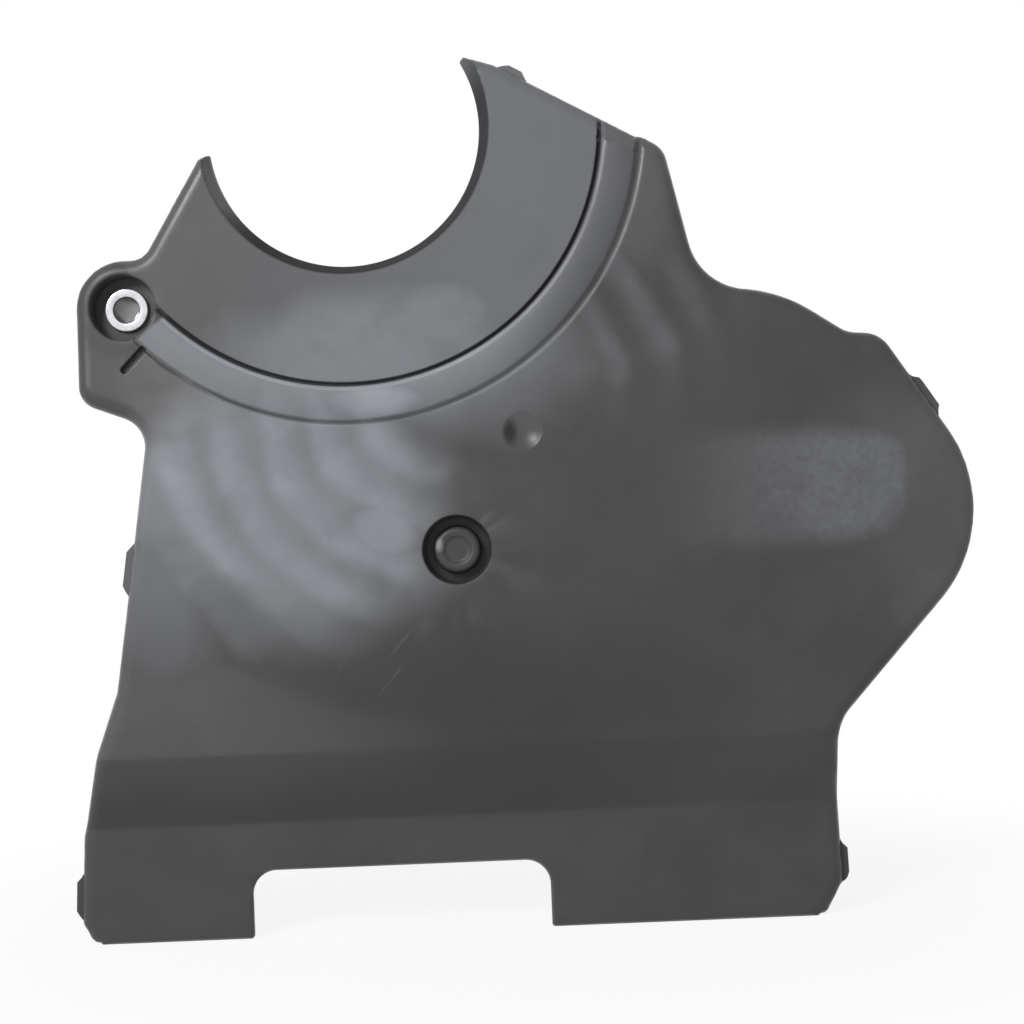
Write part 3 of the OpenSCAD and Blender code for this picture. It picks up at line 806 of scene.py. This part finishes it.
def put_mesh(name, points, faces, material, node):
    """Makes an object from lying points and triangles, smooth up to an angle, riding on the one body."""
    mesh = bpy.data.meshes.new(name)
    mesh.vertices.add(len(points))
    mesh.vertices.foreach_set("co", upright(points).astype(np.float32).ravel())
    mesh.loops.add(faces.size)
    mesh.loops.foreach_set("vertex_index", faces.astype(np.int32).ravel())
    mesh.polygons.add(len(faces))
    mesh.polygons.foreach_set("loop_start", np.arange(0, faces.size, faces.shape[1], dtype=np.int32))
    mesh.update(calc_edges=True)
    mesh.validate()
    mesh.polygons.foreach_set("use_smooth", np.ones(len(mesh.polygons), bool))
    mesh.set_sharp_from_angle(angle=SHARP)
    mesh.materials.append(material)
    piece = bpy.data.objects.new(name, mesh)
    bpy.context.scene.collection.objects.link(piece)
    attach(piece, "root")
    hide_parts(node)


def strip(first, second):
    """Triangles between two closed rows of point numbers."""
    a, b = first, np.roll(first, -1)
    c, d = np.roll(second, -1), second
    return np.concatenate([np.stack([a, c, b], 1), np.stack([a, d, c], 1)])


def tab_push(surface, loop):
    """How far each place of the loop stands out as a tab: a flat top with slanted ends."""
    out = surface.form.tab[0]
    push = np.zeros(len(loop))
    for at, long_ in TABS:
        half = long_ * MM / 2
        push = np.maximum(push, out * ramp(away(loop, np.array(at) * MM), half, half - out))
    return push


def moulding(surface):
    """Points and triangles of the shell: front and back heights over the two nets, the skirt's outer
    side between their edges with its tabs pushed out along the normal, and the wall of the sleeve's hole."""
    f, loop = surface.form, surface.loop
    seat = ring(f.lug, f.seat, ROUND)[::-1]
    front, front_faces = front_net(surface, seat).triangles()
    back, back_faces = back_net(surface, seat).triangles()
    top = np.column_stack([front, surface.front(front)])
    bottom = np.column_stack([back, surface.back(back)])
    n = len(loop)
    outward = -left_of(unit(np.roll(loop, -1, axis=0) - np.roll(loop, 1, axis=0)))
    push = tab_push(surface, loop)
    z_top, z_low = top[:n, 2], bottom[:n, 2]
    skirt = z_low < ON_RIM
    sides = []
    for depth, share, out in SIDE_ROWS:
        z = np.where(skirt, z_top - (f.draft + f.tab[1] * depth), z_top + (z_low - z_top) * share)
        sides.append(np.column_stack([loop + (out * push)[:, None] * outward, z]))
    base = len(top) + len(bottom)
    starts = [0, *(base + k * n for k in range(len(sides))), len(top)]
    chains = [start + np.arange(n) for start in starts]
    hole = np.arange(n, n + len(seat))
    faces = np.concatenate([
        front_faces,
        back_faces[:, ::-1] + len(top),
        *(strip(a, b) for a, b in zip(chains[:-1], chains[1:])),
        strip(hole, hole + len(top)),
    ])
    return np.concatenate([top, bottom, *sides]), faces


def sleeve(form, at, seat):
    """Points and triangles of the sleeve: its closed profile, rounded at each edge, carried round its axis."""
    top = seat + form.head_thickness
    profile = [
        (form.bore, top / 2, 0),
        (form.bore, 0, form.edge),
        (form.tube, 0, form.edge),
        (form.tube, seat, form.root),
        (form.head, seat, form.edge / 2),
        (form.head, top, form.edge),
        (form.bore, top, form.edge),
        (form.bore, top / 2, 0),
    ]
    profile = rounded_chain(profile, gap=1.5 * MM, turn_step=math.radians(15))[:-1]
    round_ = bearing(np.arange(SLEEVE_ROUND) * 2 * math.pi / SLEEVE_ROUND)
    plane = np.array(at[:2]) + profile[:, :1] * round_[:, None]
    z = np.broadcast_to(profile[:, 1:], (*plane.shape[:2], 1))
    points = np.concatenate([plane, z], 2).reshape(-1, 3)
    index = np.arange(len(points)).reshape(SLEEVE_ROUND, -1)
    faces = np.concatenate([strip(a, b) for a, b in zip(index, np.roll(index, -1, axis=0))])
    return points, faces


# Materials

class Wiring:
    """Adds nodes to one tree. Each value is a number or a socket, and each result is a socket."""

    def __init__(self, tree):
        self.tree = tree

    def feed(self, value, socket):
        """Links a socket to an input, or sets a number on it."""
        if isinstance(value, bpy.types.NodeSocket):
            self.tree.links.new(value, socket)
        else:
            socket.default_value = value

    def add(self, kind, values=None, **settings):
        """A new node with its settings and its inputs."""
        item = self.tree.nodes.new(kind)
        for key, value in settings.items():
            setattr(item, key, value)
        for key, value in (values or {}).items():
            self.feed(value, item.inputs[key])
        return item

    def use(self, name, values):
        """The output of a node group."""
        return self.add("ShaderNodeGroup", values, node_tree=bpy.data.node_groups[name]).outputs[0]

    def maths(self, operation, *values):
        """The result of a sum on one to three numbers."""
        return self.add("ShaderNodeMath", dict(enumerate(values)), operation=operation).outputs["Value"]

    def product(self, first, *others):
        """The product of some numbers."""
        for other in others:
            first = self.maths("MULTIPLY", first, other)
        return first

    def most(self, first, *others):
        """The largest of some numbers."""
        for other in others:
            first = self.maths("MAXIMUM", first, other)
        return first

    def between(self, share, low, high):
        """The number at a share of the way from low to high."""
        return self.maths("MULTIPLY_ADD", share, high - low, low)

    def spread(self, value, low, high, to_low=0.0, to_high=1.0):
        """A value carried smoothly from one range to another and held at its ends."""
        values = {"Value": value, "From Min": low, "From Max": high, "To Min": to_low, "To Max": to_high}
        return self.add("ShaderNodeMapRange", values, interpolation_type="SMOOTHSTEP").outputs["Result"]

    def fading(self, value, low, high):
        """One below low, falling smoothly to nothing at high."""
        return self.spread(value, low, high, 1.0, 0.0)

    def stripe(self, value, low, high, soft):
        """One between low and high, falling smoothly to nothing on both sides."""
        return self.product(self.spread(value, low - soft, low), self.fading(value, high, high + soft))

    def noise(self, place_, scale, detail=2.0, rough=0.5):
        """Cloudy noise at a place."""
        values = {"Vector": place_, "Scale": scale, "Detail": detail, "Roughness": rough}
        return self.add("ShaderNodeTexNoise", values).outputs["Fac"]

    def blend(self, share, *colours):
        """A colour between two."""
        ends = [end if isinstance(end, bpy.types.NodeSocket) else (*end, 1) for end in colours]
        return self.add("ShaderNodeMix", {0: share, 6: ends[0], 7: ends[1]}, data_type="RGBA").outputs[2]

    def vector(self, operation, *values, output="Vector"):
        """The result of a sum on vectors."""
        return self.add("ShaderNodeVectorMath", dict(enumerate(values)), operation=operation).outputs[output]

    def in_plane(self, place_, centre):
        """The offset from a centre in the face's plane."""
        return self.vector("MULTIPLY", self.vector("SUBTRACT", place_, centre), (1, 0, 1))

    def reach(self, offset):
        """The length of an offset."""
        return self.vector("LENGTH", offset, output="Value")


def group(name, vectors, numbers, output):
    """A new node group with a place and the named inputs: its wiring, its inputs and its output."""
    tree = bpy.data.node_groups.new(name, "ShaderNodeTree")
    for label in ("Place", *vectors):
        tree.interface.new_socket(label, in_out="INPUT", socket_type="NodeSocketVector")
    for label in numbers:
        tree.interface.new_socket(label, in_out="INPUT", socket_type="NodeSocketFloat")
    tree.interface.new_socket(output, in_out="OUTPUT", socket_type="NodeSocketFloat")
    ins, outs = tree.nodes.new("NodeGroupInput").outputs, tree.nodes.new("NodeGroupOutput").inputs
    return Wiring(tree), ins, outs[output]


def soft_patch_group():
    """One inside an ellipse in the face's plane, falling smoothly to nothing at its wavering edge."""
    w, ins, out = group("soft_patch", ["Centre", "Size"], ["Soft"], "Share")
    scaled = w.vector("DIVIDE", w.in_plane(ins["Place"], ins["Centre"]), ins["Size"])
    waver = w.between(w.noise(ins["Place"], 45.0), -0.2, 0.2)
    start = w.maths("SUBTRACT", 1.0, ins["Soft"])
    w.feed(w.fading(w.maths("ADD", w.reach(scaled), waver), start, 1.0), out)


def flow_marks_group():
    """Streaks of the melt: rings about a centre in the face's plane, each bright on its outer side and
    fading inwards, wavering a little and broken up along their length."""
    w, ins, out = group("flow_marks", ["Centre"], ["Wave"], "Marks")
    waver = w.between(w.noise(ins["Place"], 22.0), -6 * MM, 6 * MM)
    reach = w.reach(w.in_plane(ins["Place"], ins["Centre"]))
    share = w.maths("FRACT", w.maths("DIVIDE", w.maths("ADD", reach, waver), ins["Wave"]))
    streak = w.product(w.spread(share, 0.0, 0.65), w.fading(share, 0.65, 1.0))
    broken = w.spread(w.noise(ins["Place"], 40.0, detail=3.0), 0.35, 0.62, 0.35, 1.0)
    w.feed(w.product(streak, broken), out)


def rays_group():
    """Fine streaks that run out from a centre in the face's plane: noise over the bearing, broken by noise."""
    w, ins, out = group("rays", ["Centre"], ["Count"], "Marks")
    direction = w.vector("NORMALIZE", w.in_plane(ins["Place"], ins["Centre"]))
    streak = w.spread(w.noise(direction, ins["Count"], detail=1.0), 0.4, 0.7)
    broken = w.spread(w.noise(ins["Place"], 90.0, detail=3.0), 0.35, 0.65)
    w.feed(w.product(streak, broken), out)


def scratches_group():
    """Fine scratches that run one way in the face's plane: noise drawn out along a turned axis."""
    w, ins, out = group("scratches", ["Turn", "Stretch"], [], "Marks")
    values = {"Vector": ins["Place"], "Rotation": ins["Turn"], "Scale": ins["Stretch"]}
    drawn = w.add("ShaderNodeMapping", values, vector_type="TEXTURE").outputs["Vector"]
    w.feed(w.spread(w.noise(drawn, 1.0), 0.58, 0.72), out)


def grain_group():
    """Height of the moulded grain: fine pits on a slow waviness."""
    w, ins, out = group("moulded_grain", [], ["Scale"], "Height")
    fine = w.noise(ins["Place"], ins["Scale"])
    slow = w.noise(ins["Place"], 90.0, detail=1.0)
    w.feed(w.maths("MULTIPLY_ADD", slow, 0.6, w.product(fine, 0.4)), out)


def shader(name):
    """A new material with its wiring, its Principled shader and the object's place."""
    material = bpy.data.materials.new(name)
    material.use_nodes = True
    w = Wiring(material.node_tree)
    return material, w, material.node_tree.nodes["Principled BSDF"], w.add("ShaderNodeTexCoord").outputs["Object"]


def at_face(form, spot):
    """A place on the face, given across and up, as a place of the upright cover."""
    return (spot[0], -form.face, spot[1])


class FaceMarks:
    """Masks over the cover's face, from which the plastic's colour and shine are worked out."""

    def __init__(self, w, place_, finish, outline, form):
        self.w, self.place, self.finish, self.outline, self.form = w, place_, finish, outline, form
        axes = w.add("ShaderNodeSeparateXYZ", {0: place_}).outputs
        self.across, self.up = axes["X"], axes["Z"]
        self.pulley, self.gate = self.about((0, 0)), self.about(form.gate)
        side = np.array([-form.lug[1], 0, form.lug[0]]) / math.hypot(*form.lug[:2])
        self.past_lug = w.spread(self.toward(side), form.pocket - form.draft, form.pocket + MM)
        self.cloud = w.spread(w.noise(place_, 42.0, detail=4.0, rough=0.6), 0.3, 0.7)

    def about(self, spot):
        """Distance from a spot on the face."""
        return self.w.reach(self.w.in_plane(self.place, at_face(self.form, spot)))

    def toward(self, direction):
        """Distance from the pulley axis along a direction."""
        return self.w.vector("DOT_PRODUCT", self.place, direction, output="Value")

    def patch(self, name, origin=(0, 0)):
        """A soft patch, placed from an origin on the face."""
        offset, size, soft = PATCHES[name]
        spot = [start + more * MM for start, more in zip(origin, offset)]
        sizes = (size[0] * MM, 1.0, size[1] * MM)
        values = {"Place": self.place, "Centre": at_face(self.form, spot), "Size": sizes, "Soft": soft}
        return self.w.use("soft_patch", values)

    def over(self, name, value, low=0.0, high=1.0):
        """A number that goes smoothly from low to high over a named span."""
        start, end = (edge * MM for edge in SPANS[name])
        return self.w.spread(value, start, end, low, high)

    def front(self):
        """One where the surface looks forwards."""
        normal = self.w.add("ShaderNodeTexCoord").outputs["Normal"]
        return self.w.fading(self.w.add("ShaderNodeSeparateXYZ", {0: normal}).outputs["Y"], -0.3, 0.0)

    def haze_and_highlight(self):
        """Pale marks and painted highlight: flow marks, rays at the gate and scratches, a painted highlight over
        the left of the face, the lit plate and band and the band's inner edge, a painted glint on the gate stub's
        edge, and lighter patches at the top corner, past the crown and on the lobe.
        """
        w, f, finish, cloud = self.w, self.form, self.finish, self.cloud
        patch, between = self.patch, w.between
        flow = {"Place": self.place, "Centre": at_face(f, finish.rings_at), "Wave": finish.rings}
        fan = {"Place": self.place, "Centre": at_face(f, f.gate), "Count": finish.rays}
        stretch = (finish.scratch[0], 1, finish.scratch[1])
        scored = {"Place": self.place, "Turn": (0, finish.scratch_turn, 0), "Stretch": stretch}
        rings, rays, lines = w.use("flow_marks", flow), w.use("rays", fan), w.use("scratches", scored)
        plate = w.fading(self.pulley, f.band_in - f.crease, f.band_in)
        band = w.product(w.stripe(self.pulley, f.band_in, f.band_out, MM), self.past_lug)
        # Painted highlight along the band's inner edge
        inner_edge_highlight = w.stripe(self.pulley, f.band_in + 0.3 * MM, f.band_in + 0.9 * MM, 0.6 * MM)
        inward = self.over("inward", self.across, 1.0, 0.97)
        rightward = self.over("rightward", self.across, 0.12, 0.45)
        leftward = self.over("leftward", self.across, 1.0, 0.42)
        past_crown = self.over("crown_edge", self.about(f.crown_at), 0.0, 0.1)
        # The first eight marks are painted highlight, the first of them over flow marks, and so is the band's
        # inner edge; the right flow marks, the rays and the scratches are the plastic's own; the rest are lighter
        # patches
        marks = [
            (patch("left_flow"), between(rings, 0.62, 0.95), inward),
            (patch("left_edge"), between(cloud, 0.28, 0.45)),
            (patch("beside_gate"), between(cloud, 0.7, 1.0)),
            (patch("plate_low"), 0.55),
            (patch("under_plate"), between(cloud, 0.45, 0.8)),
            (band, leftward, between(cloud, 0.5, 0.75)),
            (band, patch("band_glint")),
            (plate, rightward, between(cloud, 0.7, 1.1)),
            (patch("top_corner"), 0.14),
            (patch("right_flow"), between(rings, 0.0, 0.25)),
            (patch("gate_rays"), between(rays, 0.0, 0.22)),
            (patch("scratched"), lines, 0.25),
            (patch("past_crown"), past_crown),
            (inner_edge_highlight, self.past_lug, leftward),
            (patch("lobe"), 0.14),
        ]
        outside = w.spread(self.gate, f.gate[2], f.gate[2] + f.gate_taper)
        on_face = w.product(w.most(*(w.product(*mark) for mark in marks)), outside)
        # Adds the painted glint on the gate stub's edge
        return w.most(on_face, patch("stub_glint", f.gate))

    def pad(self):
        """Speckled pad on the right, fading out to its left."""
        w = self.w
        speckle = w.spread(w.noise(self.place, 600.0, detail=4.0, rough=0.75), 0.3, 0.7)
        return w.product(
            self.over("pad_start", self.across),
            self.over("pad_end", self.across, 1.0, 0.0),
            w.stripe(self.up, *(value * MM for value in PAD_ROWS)),
            self.patch("pad"),
            w.between(speckle, 0.25, 0.38),
        )

    def lip_matt_and_shade(self):
        """Matt ring with painted shade on the opening's lip, fading out towards the horns' tips."""
        finish, opening, lip = self.finish, self.outline.opening, self.form.lip[0]
        across, up = bearing(finish.lip_bearing)
        ring_ = self.w.fading(self.pulley, opening + lip, opening + 1.4 * lip)
        low = self.toward((across, 0, up))
        low = self.w.spread(low, -0.3 * opening, 0.4 * opening, 0.0, finish.lip_matt_and_shade_level)
        return self.w.product(ring_, low)

    def shade(self):
        """Painted shade: the crease, the valley beside the band, the gate's moat, the slope and two patches."""
        w, f, stripe = self.w, self.form, self.w.stripe
        places = [
            (stripe(self.pulley, f.band_in - f.crease, f.band_in - 0.2 * MM, 0.3 * MM), self.past_lug, 0.75),
            (stripe(self.pulley, f.band_out, f.band_out + 0.6 * MM, 0.8 * MM), self.past_lug, 0.55),
            (stripe(self.gate, f.stub, f.gate[2], 0.4 * MM), 0.7),
            (stripe(self.up, f.bend - f.slope, f.bend, MM), self.over("slope_fade", self.across, 0.36, 0.0)),
            (self.patch("dimple_shade", f.dimple), 0.85),
            (self.patch("low_field"), 0.42),
        ]
        return w.most(*(w.product(*place_) for place_ in places))


def plastic_material(finish, outline, form):
    """Satin charcoal plastic: pale flow marks with a painted highlight on the left, a speckled pad on the
    right, a matt ring with painted shade at the opening's lip, and painted shade in the crease, the
    valley, the gate's moat, on the slope and in patches."""
    for make in (soft_patch_group, flow_marks_group, rays_group, scratches_group, grain_group):
        make()
    material, w, bsdf, place_ = shader("charcoal_plastic")
    marks = FaceMarks(w, place_, finish, outline, form)
    haze_and_highlight, lip_matt_and_shade, front = marks.haze_and_highlight(), marks.lip_matt_and_shade(), marks.front()
    # Pale marks, painted highlight and the pad, on faces that look forwards
    tint = w.blend(w.product(w.most(haze_and_highlight, marks.pad()), front), finish.plastic, finish.haze_and_highlight)
    clouded = w.spread(marks.cloud, 0.2, 1.0, 0.0, 0.18)
    # Random cloudy darkening, and painted shade on the lip, in the crease and the valley, in the gate's moat, on
    # the slope, beside the dimple and over the low field
    darkness = w.most(clouded, lip_matt_and_shade, w.product(marks.shade(), front))
    w.feed(w.blend(darkness, tint, finish.dark), bsdf.inputs["Base Color"])
    w.feed(w.most(w.between(w.most(haze_and_highlight, marks.cloud), *finish.satin), lip_matt_and_shade), bsdf.inputs["Roughness"])
    bsdf.inputs["Specular IOR Level"].default_value = finish.sheen
    height = w.use("moulded_grain", {"Place": place_, "Scale": finish.grain[1] / MM})
    relief = {"Height": height, "Strength": finish.grain[0], "Distance": finish.grain_depth}
    w.feed(w.add("ShaderNodeBump", relief).outputs["Normal"], bsdf.inputs["Normal"])
    return material


def zinc_material(finish, form, sleeve_form):
    """Bright zinc plating, a little clouded, and dull inside the bore."""
    material, w, bsdf, place_ = shader("zinc_plating")
    cloud = w.noise(place_, 500.0, detail=3.0)
    axis = w.reach(w.in_plane(place_, at_face(form, form.lug)))
    bore = w.fading(axis, sleeve_form.bore, sleeve_form.bore + sleeve_form.edge)
    tint = w.blend(w.spread(cloud, 0.35, 0.7), finish.zinc, finish.dull_zinc)
    w.feed(w.blend(bore, tint, finish.bore), bsdf.inputs["Base Color"])
    bsdf.inputs["Metallic"].default_value = finish.metal
    shine = w.between(cloud, *finish.plating)
    w.feed(w.maths("MULTIPLY_ADD", bore, finish.bore_rough, shine), bsdf.inputs["Roughness"])
    return material


# Studio

def bright_rays(w):
    """One for camera, glossy and transmission rays, which see the background as white."""
    path = w.add("ShaderNodeLightPath").outputs
    return w.most(path["Is Camera Ray"], path["Is Glossy Ray"], path["Is Transmission Ray"])


def paper_material(finish, studio):
    """Pale studio paper: white to the camera and to mirrors, and shaded by the cover near its feet."""
    material, w, bsdf, place_ = shader("studio_paper")
    bsdf.inputs["Base Color"].default_value = (*finish.studio, 1)
    bsdf.inputs["Roughness"].default_value = finish.paper_rough
    bsdf.inputs["Specular IOR Level"].default_value = 0.0
    feet = (CAD_BOX[0][0] / 2 + CAD_BOX[1][0] / 2, 0, CAD_BOX[0][2])
    reach = w.vector("DISTANCE", place_, feet, output="Value")
    share = w.product(bright_rays(w), w.spread(reach, *studio.shadow, studio.shadow_white, 1.0))
    white = w.add("ShaderNodeEmission").outputs["Emission"]
    mix = w.add("ShaderNodeMixShader", {0: share, 1: bsdf.outputs["BSDF"], 2: white}).outputs["Shader"]
    w.feed(mix, w.tree.nodes["Material Output"].inputs["Surface"])
    return material


def paper_sweep(scene, studio, finish):
    """Paper that lies on the floor and turns up behind: a line, a quarter circle and a line, carried across."""
    floor, radius, reach = CAD_BOX[0][2], studio.sweep, studio.reach
    turns = np.linspace(0, math.pi / 2, 13)
    bend_y = studio.depth + radius * np.sin(turns)
    bend_z = floor + radius * (1 - np.cos(turns))
    y = np.concatenate([[-reach], bend_y, [bend_y[-1]]])
    z = np.concatenate([[floor], bend_z, [floor + reach]])
    points = np.concatenate([np.column_stack([np.full_like(y, x), y, z]) for x in (-reach, reach)])
    k = np.arange(len(y) - 1)
    faces = np.stack([k, k + len(y), k + len(y) + 1, k + 1], 1)
    mesh = bpy.data.meshes.new("paper_sweep")
    mesh.from_pydata(points.tolist(), [], faces.tolist())
    mesh.polygons.foreach_set("use_smooth", np.ones(len(faces), bool))
    mesh.materials.append(paper_material(finish, studio))
    paper = bpy.data.objects.new("paper_sweep", mesh)
    scene.collection.objects.link(paper)


def facing(at, target):
    """The turn of a lamp or camera at a place that faces a target."""
    return (Vector(target) - Vector(at)).to_track_quat("-Z", "Y").to_euler()


def key_light(scene, studio):
    """Square area lamp that isn't seen itself."""
    lamp = bpy.data.lights.new("key_light", "AREA")
    lamp.size = studio.key_size
    lamp.energy = studio.key_energy
    light = bpy.data.objects.new("key_light", lamp)
    scene.collection.objects.link(light)
    light.location = studio.key_at
    light.rotation_euler = facing(studio.key_at, studio.key_aim)
    light.visible_camera = False


def studio_world(scene, studio):
    """Even light from all round, white to the camera and to mirrors."""
    world = bpy.data.worlds.new("studio")
    scene.world = world
    world.use_nodes = True
    w = Wiring(world.node_tree)
    background = world.node_tree.nodes["Background"].inputs
    background["Color"].default_value = (1, 1, 1, 1)
    w.feed(w.between(bright_rays(w), studio.ambient, 1.0), background["Strength"])


def photo_camera(scene, studio):
    """Camera in front of the face, a little below it and rolled as the photograph is."""
    camera = bpy.data.cameras.new("photo_camera")
    camera.lens = studio.lens
    eye = bpy.data.objects.new("photo_camera", camera)
    scene.collection.objects.link(eye)
    back = Vector((0, -math.cos(studio.tilt), math.sin(studio.tilt)))
    eye.location = Vector(studio.aim) + studio.distance * back
    eye.rotation_euler = facing(eye.location, studio.aim)
    eye.rotation_euler.rotate_axis("Z", studio.roll)
    scene.camera = eye


# Operators

class COVER_OT_moulding(bpy.types.Operator):
    """Builds the moulded shell from its outline and form"""

    bl_idname = "cover.moulding"
    bl_label = "Moulded shell"

    def execute(self, context):
        scene = context.scene
        outline, form = scene.cover_outline, scene.cover_form
        points, faces = moulding(Surface(outline, form))
        material = plastic_material(scene.cover_finish, outline, form)
        put_mesh("moulded_shell", points, faces, material, "cover_shell")
        return {"FINISHED"}


class COVER_OT_sleeve(bpy.types.Operator):
    """Builds the headed steel sleeve in the screw lug"""

    bl_idname = "cover.sleeve"
    bl_label = "Screw sleeve"

    def execute(self, context):
        scene = context.scene
        form = scene.cover_form
        points, faces = sleeve(scene.sleeve_form, form.lug, form.face - form.pocket_depth)
        material = zinc_material(scene.cover_finish, form, scene.sleeve_form)
        put_mesh("zinc_sleeve", points, faces, material, "screw_sleeve")
        return {"FINISHED"}


class COVER_OT_stage(bpy.types.Operator):
    """Sets the pale floor and backdrop, the soft light and the camera"""

    bl_idname = "cover.stage"
    bl_label = "Studio"

    def execute(self, context):
        scene = context.scene
        studio = scene.cover_studio
        paper_sweep(scene, studio, scene.cover_finish)
        studio_world(scene, studio)
        key_light(scene, studio)
        photo_camera(scene, studio)
        scene.view_settings.view_transform = "Standard"
        return {"FINISHED"}


class COVER_PT_panel(bpy.types.Panel):
    """Lists the pieces of the cover"""

    bl_idname = "COVER_PT_panel"
    bl_label = "Timing cover"
    bl_space_type = "VIEW_3D"
    bl_region_type = "UI"
    bl_category = "Cover"

    def draw(self, context):
        """A button for each piece and for the studio."""
        for operator in OPERATORS:
            self.layout.operator(operator.bl_idname)


GROUPS = {
    "cover_outline": CoverOutline,
    "cover_form": CoverForm,
    "sleeve_form": SleeveForm,
    "cover_finish": CoverFinish,
    "cover_studio": CoverStudio,
}
OPERATORS = (COVER_OT_moulding, COVER_OT_sleeve, COVER_OT_stage)
CLASSES = (*GROUPS.values(), *OPERATORS, COVER_PT_panel)


def register():
    """Registers the classes and hangs the property groups on the scene."""
    for item in CLASSES:
        bpy.utils.register_class(item)
    for name, kind in GROUPS.items():
        setattr(bpy.types.Scene, name, bpy.props.PointerProperty(type=kind))


def unregister():
    """Takes back what register does."""
    for name in GROUPS:
        delattr(bpy.types.Scene, name)
    for item in reversed(CLASSES):
        bpy.utils.unregister_class(item)


def main():
    """Builds the pieces and the stage."""
    register()
    bpy.ops.cover.moulding()
    bpy.ops.cover.sleeve()
    bpy.ops.cover.stage()


if __name__ == "__main__":
    main()
